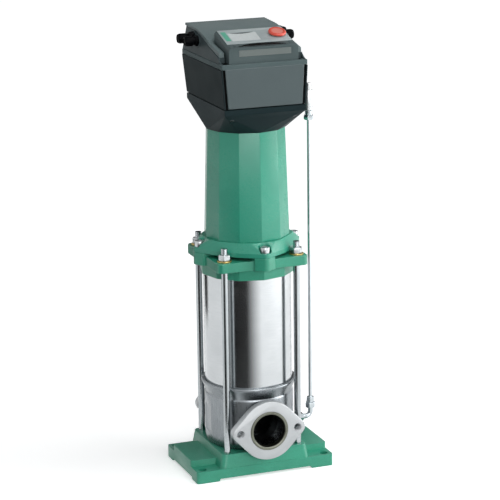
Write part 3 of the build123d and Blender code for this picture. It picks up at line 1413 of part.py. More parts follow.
with BuildPart() as line_elbow:
    with BuildLine() as path:
        FilletPolyline(
            (LINE_HEX_X - FIT, 0, LINE_PORT_Z), (LINE_X, 0, LINE_PORT_Z), (LINE_X, 0, LINE_NUT_Z), radius=ELBOW_BEND
        )
    with BuildSketch(side_plane(1, LINE_HEX_X - FIT, 0, LINE_PORT_Z)):
        Circle(ELBOW_R)
    sweep(path=path.line)
    with BuildSketch(side_plane(1, LINE_BOSS_X, 0, LINE_PORT_Z)):
        RegularPolygon(LINE_HEX_AF / 2, 6, major_radius=False)
    extrude(amount=LINE_HEX_X - LINE_BOSS_X)
    with BuildSketch(side_plane(1, LINE_BOSS_X, 0, LINE_PORT_Z)):
        Circle(ELBOW_R - FIT)
    extrude(amount=CASING_R - LINE_BOSS_X)
save(line_elbow, "line_elbow")

with BuildPart() as line_nuts:
    for z, height in ((LINE_NUT_Z, LINE_NUT_H), (SENSOR_NUT_Z, SENSOR_NUT_H)):
        with BuildSketch(Plane.XY.offset(z)):
            with Locations((LINE_X, 0)):
                RegularPolygon(LINE_NUT_AF / 2, 6, major_radius=False, rotation=30)
                Circle(LINE_R + FIT, mode=Mode.SUBTRACT)
        extrude(amount=height)
save(line_nuts, "line_nuts")

with BuildPart() as line_tube:
    with BuildSketch(Plane.XY.offset(LINE_NUT_Z)):
        with Locations((LINE_X, 0)):
            Circle(LINE_R)
    extrude(amount=SENSOR_NUT_Z + SENSOR_NUT_H - LINE_NUT_Z)
save(line_tube, "line_tube")

with BuildPart() as sensor_body:
    with BuildSketch(Plane.XY.offset(SENSOR_NUT_Z + SENSOR_NUT_H)):
        with Locations((LINE_X, 0)):
            Circle(SENSOR_R)
    extrude(amount=SENSOR_TOP - SENSOR_NUT_Z - SENSOR_NUT_H)
    with BuildSketch(Plane.XY.offset(SENSOR_TOP)):
        with Locations((LINE_X, 0)):
            Circle(SENSOR_CAP_R)
    extrude(amount=SENSOR_CAP)
save(sensor_body, "sensor_body")
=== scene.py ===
from math import cos, pi, radians, sin

import bpy
from mathutils import Matrix, Vector


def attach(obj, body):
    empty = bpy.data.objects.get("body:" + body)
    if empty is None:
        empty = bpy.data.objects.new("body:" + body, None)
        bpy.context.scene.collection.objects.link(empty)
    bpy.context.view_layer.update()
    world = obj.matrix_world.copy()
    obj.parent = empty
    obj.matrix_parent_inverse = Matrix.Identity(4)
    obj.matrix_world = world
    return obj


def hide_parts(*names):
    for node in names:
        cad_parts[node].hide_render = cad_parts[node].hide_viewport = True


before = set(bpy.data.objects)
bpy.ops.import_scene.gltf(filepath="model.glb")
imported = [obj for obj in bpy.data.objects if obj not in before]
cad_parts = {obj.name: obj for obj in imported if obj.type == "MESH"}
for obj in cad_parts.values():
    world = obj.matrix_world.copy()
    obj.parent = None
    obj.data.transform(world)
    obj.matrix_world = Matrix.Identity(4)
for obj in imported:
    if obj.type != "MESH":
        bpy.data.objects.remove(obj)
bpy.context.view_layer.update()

# Vertical multistage pump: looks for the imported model. Lengths here are in millimetres until a
# helper turns them to metres, and the pump's axis is Z.
MM = 0.001
PORT_Z = 82.0
PORT_R = 27.5
NECK_R = 30.0
BOSS_Z = 65.0
FRONT, REAR = -1, 1
ROD_PLACES = [(x, y, 0) for x in (-62.5, 62.5) for y in (-62.5, 62.5)]
SCREW_RING = 82.5
SCREW_PLACES = [(SCREW_RING * cos(radians(t)), SCREW_RING * sin(radians(t)), 0) for t in (0, 90, 180, 270)]
ABOUT = {
    "X": (0, pi / 2, 0), "-X": (0, -pi / 2, 0), "Y": (-pi / 2, 0, 0), "-Y": (pi / 2, 0, 0), "Z": (0, 0, 0),
}

# Console plane: its front edge, its tilt, the way up its slope and the way out of it
ACROSS = Vector((1, 0, 0))
EDGE = Vector((0, -71.0, 721.5))
TILT = radians(17.0)
UP_SLOPE = Vector((0, cos(TILT), sin(TILT)))
OUT = Vector((0, -sin(TILT), cos(TILT)))

# Bevel between the console's front wall and its film: its middle, the way up it and the way out of it
BEVEL_MIDDLE = Vector((0, -79.5, 719.5))
BEVEL_UP = Vector((0, 17.0, 4.0)).normalized()
BEVEL_OUT = Vector((0, -4.0, 17.0)).normalized()


# MATERIALS


def linear(colour):
    """An sRGB hex colour as the linear values that a shader takes."""
    parts = [int(colour[i:i + 2], 16) / 255 for i in (1, 3, 5)]
    return tuple(c / 12.92 if c <= 0.04045 else ((c + 0.055) / 1.055) ** 2.4 for c in parts) + (1.0,)


def add(tree, kind, inputs=(), **settings):
    """Adds one node to a tree, with its settings, and its inputs as values or as links."""
    made = tree.nodes.new(kind)
    for key, value in settings.items():
        setattr(made, key, value)
    for key, value in dict(inputs).items():
        if isinstance(value, bpy.types.NodeSocket):
            tree.links.new(value, made.inputs[key])
        else:
            made.inputs[key].default_value = value
    return made


def ramp(tree, value, first, last, low, high):
    """A value mapped from one range to another, held at its ends."""
    given = {"Value": value, "From Min": first, "From Max": last, "To Min": low, "To Max": high}
    return add(tree, "ShaderNodeMapRange", given).outputs["Result"]


def multiply(tree, first, second):
    return add(tree, "ShaderNodeMath", {0: first, 1: second}, operation="MULTIPLY").outputs[0]


def finish(
    name, colour, shade, rough, grain, relief,
    metal=0.0, ior=1.5, stretch=(1, 1, 1), spread=0.08, coat=0.0,
):
    """A surface of one colour that drifts to a shade, with its grain and relief in millimetres."""
    material = bpy.data.materials.new(name)
    material.use_nodes = True
    tree = material.node_tree
    tree.nodes.clear()
    place = add(tree, "ShaderNodeTexCoord").outputs["Object"]
    scale = [s / (grain * MM) for s in stretch]
    fine_map = add(tree, "ShaderNodeMapping", {"Vector": place, "Scale": scale})
    fine = add(tree, "ShaderNodeTexNoise", {"Vector": fine_map.outputs[0], "Scale": 1.0, "Detail": 4.0})
    broad = add(tree, "ShaderNodeTexNoise", {"Vector": place, "Scale": 1 / (DRIFT * MM), "Detail": 2.0})
    drift = multiply(tree, fine.outputs["Fac"], broad.outputs["Fac"])
    ease = ramp(tree, drift, 0.12, 0.42, 0, 1)
    tint = add(tree, "ShaderNodeMix", {0: ease, 6: linear(shade), 7: linear(colour)}, data_type="RGBA")
    gloss = ramp(tree, ease, 0, 1, min(1.0, rough + spread), max(0.02, rough - spread))
    bump = add(tree, "ShaderNodeBump", {"Height": fine.outputs["Fac"], "Distance": relief * MM})
    shader = add(
        tree,
        "ShaderNodeBsdfPrincipled",
        {
            "Base Color": tint.outputs[2],
            "Roughness": gloss,
            "Normal": bump.outputs["Normal"],
            "Metallic": metal,
            "IOR": ior,
            "Coat Weight": coat,
        },
    )
    add(tree, "ShaderNodeOutputMaterial", {"Surface": shader.outputs[0]})
    return material


# Width in millimetres of the soft clouds that every surface drifts by
DRIFT = 45.0
METAL = {"metal": 1.0, "ior": 1.5}

# Cast iron, sand cast and spray painted: a satin green skin over a soft pebbled grit.
cast_green = finish("painted_cast_iron", "#35997d", "#2d8c71", 0.34, 2.2, 0.10, spread=0.06)
# Die-cast aluminium, powder coated in the same green: smoother, with a fine orange peel.
coat_green = finish("powder_coated_housing", "#389e83", "#31947b", 0.28, 1.2, 0.035, spread=0.05)
# Stainless sheet, deep drawn and pickled: bright grey with faint drawing marks up the wall.
pressed_steel = finish(
    "pressed_stainless", "#8d9295", "#82878b", 0.27, 2.4, 0.0005, stretch=(1, 1, 0.12), **METAL
)
# Stainless tube, ground and polished on its lathe: rings of fine polish round it.
polished_tube = finish(
    "polished_stainless_tube", "#c3c6c8", "#b9bdbf", 0.17, 1.2, 0.0015,
    stretch=(0.05, 0.05, 1), spread=0.03, **METAL
)
# Stainless flange, faced on a lathe: satin, with turning marks too fine to part.
faced_steel = finish("faced_stainless", "#b4b7b9", "#abaeb0", 0.5, 1.0, 0.012, spread=0.05, **METAL)
# Rolled lip of the casing, tinted by welding: olive grey and dull.
lip_steel = finish("heat_tinted_stainless", "#7b7d72", "#63655c", 0.34, 1.2, 0.008, **METAL)
# Steel bar and fasteners, cold drawn or rolled and zinc plated: pale grey with a soft gloss.
zinc = finish("zinc_plated_steel", "#b4b9bb", "#a2a8ab", 0.19, 1.4, 0.002, spread=0.04, **METAL)
# Steel washer, yellow passivated: straw gold with a green cast.
yellow_zinc = finish("yellow_passivated_steel", "#c8b173", "#ad985f", 0.32, 1.2, 0.012, **METAL)
# Steel screws, coloured dark as painted shade of the holes they sit in, with a bright glint.
black_steel = finish("black_oxide_steel", "#4d5153", "#3f4345", 0.3, 1.0, 0.003, **METAL)
# Socket screws of alloy steel, zinc plated over a rolled skin: softer than the rods.
screw_zinc = finish("zinc_plated_screws", "#c6cacc", "#b4b9bb", 0.3, 1.4, 0.002, spread=0.04, **METAL)
# Steel sheet, stove enamelled black.
enamel_black = finish("black_enamelled_sheet", "#1a1c1c", "#141616", 0.45, 1.4, 0.02)
# Glass-filled nylon, injection moulded with a fine spark-eroded grain that takes most of its gloss away,
# which the low IOR stands for. Each piece of the box has its own grey, and some of these are painted light:
# the rim and the lid lighter where they face up, the side shroud and the chassis darker where shade falls.
# Painted light: the rim's grey is lighter than the front's because the rim faces up into the light.
rim_grey = finish("moulded_rim_nylon", "#586667", "#536162", 0.5, 0.9, 0.03, ior=1.15, spread=0.05)
front_grey = finish("moulded_front_nylon", "#475456", "#435052", 0.42, 0.9, 0.03, ior=1.45, spread=0.05)
# Painted shade: the side shroud's grey is darker, as the shade on the box's sides.
shroud_grey = finish("moulded_shroud_nylon", "#263032", "#222c2e", 0.5, 0.9, 0.03, ior=1.12, spread=0.05)
cheek_grey = finish("moulded_cheek_nylon", "#434f51", "#3e494b", 0.5, 0.9, 0.03, ior=1.2, spread=0.05)
skirt_grey = finish("moulded_skirt_nylon", "#15272a", "#112124", 0.5, 0.9, 0.03, ior=1.2, spread=0.05)
panel_grey = finish("moulded_panel_nylon", "#4b5859", "#465354", 0.52, 0.9, 0.03, ior=1.3, spread=0.05)
# Painted light: the lid's grey is lighter because its top faces up into the light.
lid_grey = finish("moulded_lid_nylon", "#687677", "#637172", 0.5, 0.9, 0.03, ior=1.32, spread=0.05)
# Black nylon, with its near-zero black painted as the shade in the grooves at the box's front corners.
chassis_black = finish("moulded_chassis_nylon", "#050606", "#040505", 0.7, 1.0, 0.02, ior=1.15)
gland_black = finish("moulded_gland_nylon", "#050608", "#040507", 0.42, 1.0, 0.02, ior=1.12)
# Chloroprene rubber seal: black and dull.
rubber = finish("chloroprene_rubber", "#141414", "#1c1c1b", 0.7, 0.8, 0.03)
# Polyester film, screen printed on the back: a grey face and a green band under a matt skin. The label
# below the console is bare anodised sheet.
film_grey = finish("printed_grey_film", "#a8b2b3", "#a2acad", 0.34, 0.7, 0.006, spread=0.03)
film_green = finish("printed_green_film", "#67b39a", "#5fa991", 0.34, 0.7, 0.006, spread=0.03)
label_grey = finish("bare_aluminium_label", "#636c6a", "#5d6664", 0.42, 0.9, 0.01, spread=0.04)
# Display glass over an unlit panel: pale grey green.
display = finish("unlit_display_window", "#d8dede", "#cfd5d5", 0.14, 6.0, 0.002, spread=0.03, coat=0.3)
# Polycarbonate plates on the console as painted shade: a gloss black one in the bevel under the film for
# the shadowed groove under the film's edge, and a smoked grey bar for the shadow along the display's upper
# edge.
bevel_black = finish("gloss_black_polycarbonate", "#08090a", "#0b0c0d", 0.16, 1.5, 0.004, spread=0.03)
hood_grey = finish("smoked_polycarbonate", "#4f5a5b", "#475152", 0.3, 1.5, 0.004, spread=0.03)
# Acetal, injection moulded: a red with a soft sheen. A paler red disc on its top is a painted highlight,
# standing for the gloss on the knob's top face.
knob_red = finish("moulded_red_acetal", "#df5442", "#d44a39", 0.30, 1.0, 0.01, spread=0.05)
cap_red = finish("satin_red_acetal", "#e0867a", "#d87c70", 0.45, 1.0, 0.01, spread=0.05)
# Stainless compression fittings and tube, turned and drawn bright.
bright_line = finish("bright_drawn_stainless", "#c9cfd2", "#b4bcc0", 0.2, 1.4, 0.003, spread=0.05, **METAL)
sensor_shell = finish("blasted_stainless_shell", "#cfd2d3", "#bdc1c2", 0.34, 0.6, 0.006, **METAL)
# Inner pieces: rolled sheet, ground bars, pressed carbon, stacked cores, wire, castings and the board
# Painted shade: the inner stainless sheet is coloured dark grey for the shade inside the casing.
sheet_steel = finish("inner_stainless_sheet", "#55595b", "#46494b", 0.4, 1.4, 0.01, **METAL)
ground_steel = finish(
    "ground_shaft_steel", "#b0b4b4", "#9da2a2", 0.22, 0.8, 0.004, stretch=(0.1, 0.1, 1), **METAL
)
carbon = finish("pressed_carbon", "#242628", "#1d1f21", 0.5, 0.8, 0.01)
core_steel = finish(
    "stacked_electrical_steel", "#747a7b", "#5f6566", 0.5, 1.0, 0.03, stretch=(0.02, 0.02, 1), **METAL
)
copper = finish(
    "varnished_copper_wire", "#b8703f", "#8f4f28", 0.32, 1.0, 0.12, stretch=(1, 1, 0.1), **METAL
)
alloy = finish("cast_aluminium", "#b9bdbd", "#a6aaaa", 0.4, 1.6, 0.03, **METAL)
fan_grey = finish("moulded_fan_nylon", "#2e3336", "#262b2e", 0.45, 1.0, 0.02)
board_green = finish("etched_circuit_board", "#2f6049", "#285440", 0.35, 2.4, 0.01)
can_black = finish("sleeved_capacitor_can", "#2d3039", "#262931", 0.35, 1.2, 0.01)


# MODELLING HELPERS


def deselect():
    bpy.ops.object.select_all(action="DESELECT")


def choose(obj):
    """Makes one object the only selected one and the active one."""
    deselect()
    obj.select_set(True)
    bpy.context.view_layer.objects.active = obj
    return obj


def axes(across, up, out):
    """The turn that takes X, Y and Z to three directions."""
    return Matrix((across, up, out)).transposed().to_4x4()


def settle_mesh():
    """Leaves edit mode with doubles merged and every face pointing outwards."""
    bpy.ops.mesh.select_all(action="SELECT")
    bpy.ops.mesh.remove_doubles(threshold=0.001 * MM)
    bpy.ops.mesh.normals_make_consistent(inside=False)
    bpy.ops.object.mode_set(mode="OBJECT")


def edit_faces(obj, test):
    """Enters edit mode with just the faces selected that pass a test."""
    choose(obj)
    bpy.ops.object.mode_set(mode="EDIT")
    bpy.ops.mesh.select_mode(type="FACE")
    bpy.ops.mesh.select_all(action="DESELECT")
    bpy.ops.object.mode_set(mode="OBJECT")
    for face in obj.data.polygons:
        face.select = test(face)
    bpy.ops.object.mode_set(mode="EDIT")


def apply_place(obj, turn=(0, 0, 0), place=(0, 0, 0)):
    """Turns and moves an object from the origin, and writes that into its mesh."""
    choose(obj)
    obj.rotation_euler = turn
    obj.location = Vector(place) * MM
    bpy.ops.object.transform_apply(location=True, rotation=True, scale=True)
    return obj


def turned(rings, sides=64, axis="Z", place=(0, 0, 0), tube=False, phase=0.0):
    """A piece turned on a lathe through rings of radius and height; a tube's last ring meets its first."""
    deselect()
    radius, height = rings[0]
    bpy.ops.mesh.primitive_circle_add(
        vertices=sides, radius=radius * MM, fill_type="NOTHING" if tube else "NGON", rotation=(0, 0, phase)
    )
    obj = bpy.context.object
    bpy.ops.object.transform_apply(rotation=True)
    bpy.ops.object.mode_set(mode="EDIT")
    bpy.ops.transform.translate(value=(0, 0, height * MM))
    for (r0, z0), (r1, z1) in zip(rings, rings[1:]):
        bpy.ops.mesh.extrude_region_move(TRANSFORM_OT_translate={"value": (0, 0, (z1 - z0) * MM)})
        bpy.ops.transform.resize(value=(r1 / r0, r1 / r0, 1), center_override=(0, 0, z1 * MM))
    settle_mesh()
    return apply_place(obj, ABOUT[axis], place)


def prism(across, low, high, chamfer=0.0, corners=6, turn=0.0):
    """A bar with flat sides, given by its width across flats, with both ends chamfered."""
    radius = across / 2 / cos(pi / corners)
    rings = [(radius, low + chamfer), (radius, high - chamfer)]
    if chamfer:
        rings = [(radius - chamfer, low)] + rings + [(radius - chamfer, high)]
    return turned(rings, sides=corners, phase=turn)


def block(low, high):
    """A plain block between two corners, to be shaped or to cut with."""
    deselect()
    middle = [(a + b) / 2 * MM for a, b in zip(low, high)]
    bpy.ops.mesh.primitive_cube_add(size=1, location=middle)
    obj = bpy.context.object
    obj.scale = [(b - a) * MM for a, b in zip(low, high)]
    bpy.ops.object.transform_apply(location=True, rotation=True, scale=True)
    return obj


def combine(obj, tool, how):
    """Cuts, joins or meets two solids with a boolean, and uses up the tool."""
    choose(obj)
    modifier = obj.modifiers.new("combine", "BOOLEAN")
    modifier.operation, modifier.object, modifier.solver = how, tool, "EXACT"
    bpy.ops.object.modifier_apply(modifier=modifier.name)
    bpy.data.objects.remove(tool)
    return obj


def cut(obj, tool):
    return combine(obj, tool, "DIFFERENCE")


def fuse(obj, tool):
    return combine(obj, tool, "UNION")


def mend(obj):
    """Closes the small gaps that booleans and hulls leave in a solid."""
    choose(obj)
    bpy.ops.object.mode_set(mode="EDIT")
    bpy.ops.mesh.select_all(action="SELECT")
    bpy.ops.mesh.remove_doubles(threshold=0.01 * MM)
    bpy.ops.mesh.fill_holes(sides=0)
    settle_mesh()
    return obj


def round_edges(obj, width, segments=2, angle=30, clamp=False):
    """Rounds every edge sharper than an angle."""
    choose(obj)
    modifier = obj.modifiers.new("round", "BEVEL")
    modifier.width, modifier.segments = width * MM, segments
    modifier.limit_method, modifier.angle_limit = "ANGLE", radians(angle)
    modifier.use_clamp_overlap = clamp
    bpy.ops.object.modifier_apply(modifier=modifier.name)
    return obj


def gather(pieces):
    """Joins loose pieces into one object."""
    deselect()
    for obj in pieces:
        obj.select_set(True)
    bpy.context.view_layer.objects.active = pieces[0]
    bpy.ops.object.join()
    return bpy.context.object


def repeat(obj, places, turns=None):
    """Copies a piece to each place, each copy with its own mesh, and gathers them."""
    copies = []
    for count, place in enumerate(places):
        twin = bpy.data.objects.new(obj.name, obj.data.copy())
        bpy.context.scene.collection.objects.link(twin)
        twin.data.transform(Matrix.Translation(Vector(place) * MM) @ (turns[count] if turns else Matrix()))
        copies.append(twin)
    bpy.data.objects.remove(obj)
    return gather(copies)


def hand_over(obj, name, material, body, nodes=(), angle=35):
    """Names and dresses a finished piece, and sets it to ride on its body in place of CAD nodes."""
    choose(obj)
    bpy.ops.object.shade_smooth_by_angle(angle=radians(angle))
    obj.name = obj.data.name = name
    obj.data.materials.clear()
    obj.data.materials.append(material)
    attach(obj, body)
    if nodes:
        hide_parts(*nodes)
    return obj


def from_cad(node):
    """A copy of a CAD node with its triangles merged back into whole faces, ready to be worked on."""
    obj = bpy.data.objects.new(node + "_copy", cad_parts[node].data.copy())
    bpy.context.scene.collection.objects.link(obj)
    choose(obj)
    bpy.ops.object.mode_set(mode="EDIT")
    bpy.ops.mesh.select_all(action="SELECT")
    bpy.ops.mesh.remove_doubles(threshold=0.002 * MM)
    bpy.ops.mesh.dissolve_limited(angle_limit=radians(0.6))
    settle_mesh()
    return obj


def dressed(node, material, width=1.0, segments=2, angle=30, smooth=18, clamp=False):
    """A moulded or cast piece with the CAD node's own form and rounded edges."""
    obj = from_cad(node)
    round_edges(obj, width, segments, angle, clamp)
    return hand_over(obj, node + "_skin", material, "pump", (node,), smooth)


def fitted(node, material, width, size, shift=(0, 0, 0)):
    """A panel grown and moved a little so that it stands proud of its neighbours, with rounded edges."""
    obj = from_cad(node)
    choose(obj)
    bpy.ops.object.mode_set(mode="EDIT")
    bpy.ops.mesh.select_all(action="SELECT")
    bpy.ops.transform.resize(value=size)
    bpy.ops.transform.translate(value=[step * MM for step in shift])
    bpy.ops.object.mode_set(mode="OBJECT")
    round_edges(obj, width, 3)
    return hand_over(obj, node + "_skin", material, "pump", (node,), 18)


# CASTINGS AND HOUSINGS

dressed("base_plate", cast_green, 1.0, 3, clamp=True)
dressed("pump_head", cast_green, 1.2, 3)
dressed("motor_flange", coat_green, 0.8, 3)
dressed("motor_housing", coat_green, 0.9, 3, 25)
dressed("converter_skirt", skirt_grey, 0.6, 2, 16, 10)
dressed("converter_chassis", chassis_black, 0.3, 1)
dressed("side_shroud", shroud_grey, 0.7, 2)
dressed("rim_frame", rim_grey, 1.2, 3)

fitted("front_panel", front_grey, 1.5, (0.997, 1, 1.026), (0, -0.7, 0.8))
fitted("cover_lid", lid_grey, 0.8, (1.014, 1, 1))

# The console, with the bevel under its film closed where the painted shadow plate sits
BEVEL = Matrix.Translation(BEVEL_MIDDLE * MM) @ axes(ACROSS, BEVEL_UP, BEVEL_OUT)
filler = block((-46, -5, -3.4), (46, 5, 0))
filler.data.transform(BEVEL)
console = round_edges(fuse(from_cad("console_housing"), filler), 0.6, 2)
hand_over(
    console, "console_housing_skin", panel_grey, "pump", ("console_housing",), 18
)
dressed("cover_base", cheek_grey, 0.6, 2)

# CASING AND SLEEVE


def port_turned(rings, side, tube=False):
    """A piece turned about the axis of the front or the rear port."""
    return turned(rings, 96, "-Y" if side == FRONT else "Y", (0, 0, PORT_Z), tube=tube)


# The wall from its foot up over the rolled bead, and back down its inner face
casing = turned(
    [
        (58, 40.1), (64, 40.3), (68.6, 41.8), (71.4, 44.6), (72.2, 47.6), (73.2, 50.6), (73.9, 54.5),
        (74, 60), (74, 126.6), (73.6, 128.4), (72.6, 130), (73.2, 132.6), (75.6, 139.4), (77.8, 144.6),
        (78.7, 146.4), (79, 147.8), (78.7, 149.0), (77.8, 149.8), (76.4, 150), (74.8, 149.7),
        (73.6, 148.6), (73.1, 146.6), (73.1, 143.4), (70, 142.8), (69.8, 130), (71.5, 126), (71.5, 54),
        (64, 43),
    ],
    sides=160,
)
for side in (FRONT, REAR):
    casing = fuse(casing, port_turned([(NECK_R, 58), (NECK_R, 84)], side))
for side in (FRONT, REAR):
    casing = cut(casing, port_turned([(PORT_R, 40), (PORT_R, 93)], side))
for turn in (pi, 0):
    pad = round_edges(block((72.6, -16, 62), (80, 16, 113)), 5, 4)
    casing = cut(casing, apply_place(pad, (0, 0, turn)))
casing = fuse(casing, turned([(8, 70), (8, 84.8), (7.2, 86)], 32, "X", (0, 0, BOSS_Z)))
hand_over(casing, "drawn_casing", pressed_steel, "pump", ("pump_casing",))

LIP = [
    (NECK_R, 92.4), (31.6, 92.5), (32.5, 93.1), (32.8, 94.1), (32.4, 95), (31.2, 95.5), (29.4, 95.4),
    (28.2, 94.7), (27.6, 93.4), (PORT_R, 91.5), (PORT_R, 84), (NECK_R, 84), (NECK_R, 92.4),
]
for side, word in ((FRONT, "front"), (REAR, "rear")):
    lip = port_turned(LIP, side, tube=True)
    hand_over(lip, word + "_rolled_lip", lip_steel, "pump", ())

sleeve = turned(
    [(73, 143.2), (73, 341.8), (71.6, 341.8), (71.6, 143.2), (73, 143.2)], sides=192, tube=True
)
hand_over(sleeve, "ground_sleeve", polished_tube, "pump", ("outer_sleeve",))

# OVAL FLANGES


def thread_tool(radius, low, high, pitch, depth):
    """A cutter with ridges like a thread's, for a tapped hole."""
    rings = [(radius, low)]
    height = low
    while height + pitch < high:
        rings += [(radius, height + pitch * 0.1), (radius + depth, height + pitch / 2)]
        rings += [(radius, height + pitch * 0.9)]
        height += pitch
    return turned(rings + [(radius, high)], 40)


EAR_X = 50.0
TAP_R = 5.4
THREAD_PITCH = 1.75
for side, word in ((FRONT, "front"), (REAR, "rear")):
    drums = []
    for radius, x in ((49.5, 0), (13.5, -EAR_X), (13.5, EAR_X)):
        rings = [(radius - 0.4, 81), (radius, 81.4), (radius, 92.6)]
        rings += [(radius - 0.5, 93.5), (radius - 1.4, 94)]
        drums.append(turned(rings, 96 if x == 0 else 40, place=(x, 0, 0)))
    flange = gather(drums)
    bpy.ops.object.mode_set(mode="EDIT")
    bpy.ops.mesh.select_all(action="SELECT")
    bpy.ops.mesh.convex_hull()
    bpy.ops.mesh.dissolve_limited(angle_limit=radians(0.5))
    settle_mesh()
    flange = cut(flange, turned([(30.05, 80), (30.05, 92.2), (33, 92.4), (33, 95)], 96))
    for x in (-EAR_X, EAR_X):
        tool = thread_tool(TAP_R, 79, 93.3, THREAD_PITCH, 0.6)
        flange = cut(flange, apply_place(tool, place=(x, 0, 0)))
        flange = cut(flange, turned([(TAP_R, 92), (7, 94.4)], 40, place=(x, 0, 0)))
    apply_place(mend(flange), (pi / 2, 0, 0 if side == FRONT else pi), (0, 0, PORT_Z))
    hand_over(flange, word + "_oval_flange", faced_steel, "pump", (word + "_flange",))

# TIE RODS, WASHERS AND NUTS

HEAD_TOP = 368.0
NUT_FACE = 370.2
THREAD_START = 381.0
rings = [(5.2, 24), (5.5, 24.4), (5.5, THREAD_START)]
for count in range(5):
    low = THREAD_START + count * THREAD_PITCH
    rings += [(5.0, low + 0.5), (5.0, low + 0.8), (5.5, low + 1.3), (5.5, low + 1.7)]
rings += [(5.1, 390)]
hand_over(repeat(turned(rings, 40), ROD_PLACES), "threaded_rods", zinc, "pump", ("tie_rods",))

washer = turned(
    [(6, HEAD_TOP), (11.4, HEAD_TOP), (12, 368.5), (12, 369.7), (11.4, NUT_FACE), (6, NUT_FACE),
     (6, HEAD_TOP)],
    56, tube=True,
)
hand_over(repeat(washer, ROD_PLACES), "plain_washers", yellow_zinc, "pump", ("rod_washers",))


def hex_nut(across, low, high, bore, sides=48):
    """
    A hexagon nut: a six-sided bar met with a chamfered drum, and bored. The bar is longer than the drum,
    because with their ends in one plane the boolean gave another shape, or none, from run to run.
    """
    corner = across / 2 / cos(pi / 6)
    end, wall = across / 2 - 0.3, corner + 0.2
    drum = turned([(end, low), (wall, low + 1.6), (wall, high - 1.6), (end, high)], 72)
    nut = combine(prism(across, low - 1, high + 1, turn=pi / 6), drum, "INTERSECT")
    nut = cut(nut, turned([(bore, low - 1), (bore, high + 1)], sides))
    return mend(round_edges(mend(nut), 0.25, 2, 25))


ROD_TURNS = [Matrix.Rotation(radians(a), 4, "Z") for a in (8, 23, -14, 31)]
nut = hex_nut(18, NUT_FACE, 380.2, 5.55)
nut = repeat(nut, ROD_PLACES, ROD_TURNS)
hand_over(nut, "rod_hex_nuts", screw_zinc, "pump", ("rod_nuts",))

# MOTOR SCREWS

screw = turned([(5, 357), (5, 380.9), (7.7, 381), (8, 381.3), (8, 390.3), (7.8, 390.8), (7.2, 391)], 72)
screw = cut(screw, prism(8, 385.6, 392))
screw = round_edges(screw, 0.2, 1, 40)
hand_over(repeat(screw, SCREW_PLACES), "socket_screws", screw_zinc, "pump", ("motor_screws",))

# SCREWS IN THE CONVERTER SKIRT

# The skirt's walls run from the box's corners to the ring of the housing's twelve corners
BOX_X, BOX_FRONT_Y, BOX_REAR_Y, BOX_Z = 69, -93, 88, 612
RING_R, RING_Z = 66.8, 575


def ring_corner(bearing):
    return Vector((RING_R * cos(radians(bearing)), RING_R * sin(radians(bearing)), RING_Z))


heads = []
for side in (-1, 1):
    for end in (-1, 1):
        corner = Vector((BOX_X * side, BOX_REAR_Y if end > 0 else BOX_FRONT_Y, BOX_Z))
        a = ring_corner(90 * end)
        b = ring_corner(90 * end - 30 * side * end)
        normal = (a - corner).cross(b - corner).normalized() * side * -end
        middle = corner * 0.7 + (a + b) * 0.15
        head = turned(
            [(2, -7), (2, -1.6), (3.3, -1.5), (3.6, -1.2), (3.6, -0.7), (3.0, -0.35), (1.4, -0.35),
             (1.2, -1.0)],
            40,
        )
        head.data.transform(
            Matrix.Translation(middle * MM) @ normal.to_track_quat("Z", "Y").to_matrix().to_4x4()
        )
        heads.append(head)
hand_over(gather(heads), "skirt_pan_screws", black_steel, "pump", ("skirt_screws",))

# CABLE GLANDS AND PLUGS

GLAND_YS = (23.5, 56.0)
GLAND_Z = 715.5
SEAT_R = 6.85
FLUTES = 8


def gland_shell():
    """The gland's hexagon and the barrel that its nut turns on."""
    return fuse(prism(16, 71.2, 76.2, 0.5), turned([(6.8, 76), (6.8, 91), (5.2, 91)], 40))


def gland_nut():
    """The domed nut, fluted for the fingers."""
    nut = turned(
        [(SEAT_R, 80.2), (7.8, 80.2), (8.2, 80.7), (8.2, 90.2), (7.6, 92), (6.9, 93.6), (5.9, 94),
         (5.1, 93.6), (5.0, 92), (5.0, 91), (SEAT_R, 91), (SEAT_R, 80.2)],
        48, tube=True,
    )
    for step in range(FLUTES):
        angle = radians(360 / FLUTES * step)
        place = (9.0 * cos(angle), 9.0 * sin(angle), 0)
        nut = cut(nut, turned([(1.1, 79), (1.1, 90.6), (0.3, 91.4)], 16, place=place))
    return nut


def gland_seal():
    """The rubber ring in the nut's mouth."""
    return turned([(5.1, 88.6), (5.1, 92.2), (4.4, 92.6), (3.6, 91.6), (3.2, 89.2)], 40)


for shape, name, material, nodes in (
    (gland_shell, "gland_shells", gland_black, ("gland_bodies",)),
    (gland_nut, "gland_nuts", gland_black, ("gland_caps",)),
    (gland_seal, "gland_seals", rubber, ()),
):
    made = [apply_place(shape(), ABOUT[way], (0, y, GLAND_Z)) for way in ("-X", "X") for y in GLAND_YS]
    hand_over(gather(made), name, material, "pump", nodes)

PLUG = [
    (4, 64), (4, 71), (5.8, 71.2), (6.2, 71.7), (6.2, 78.6), (5.6, 80.4), (4.6, 81), (3.4, 81), (3.2, 79.6),
]
plugs = [turned(PLUG, 48, way, (0, 40, 722)) for way in ("-X", "X")]
hand_over(gather(plugs), "blind_plugs", gland_black, "pump", ("blanking_plugs",))

# SENSING LINE

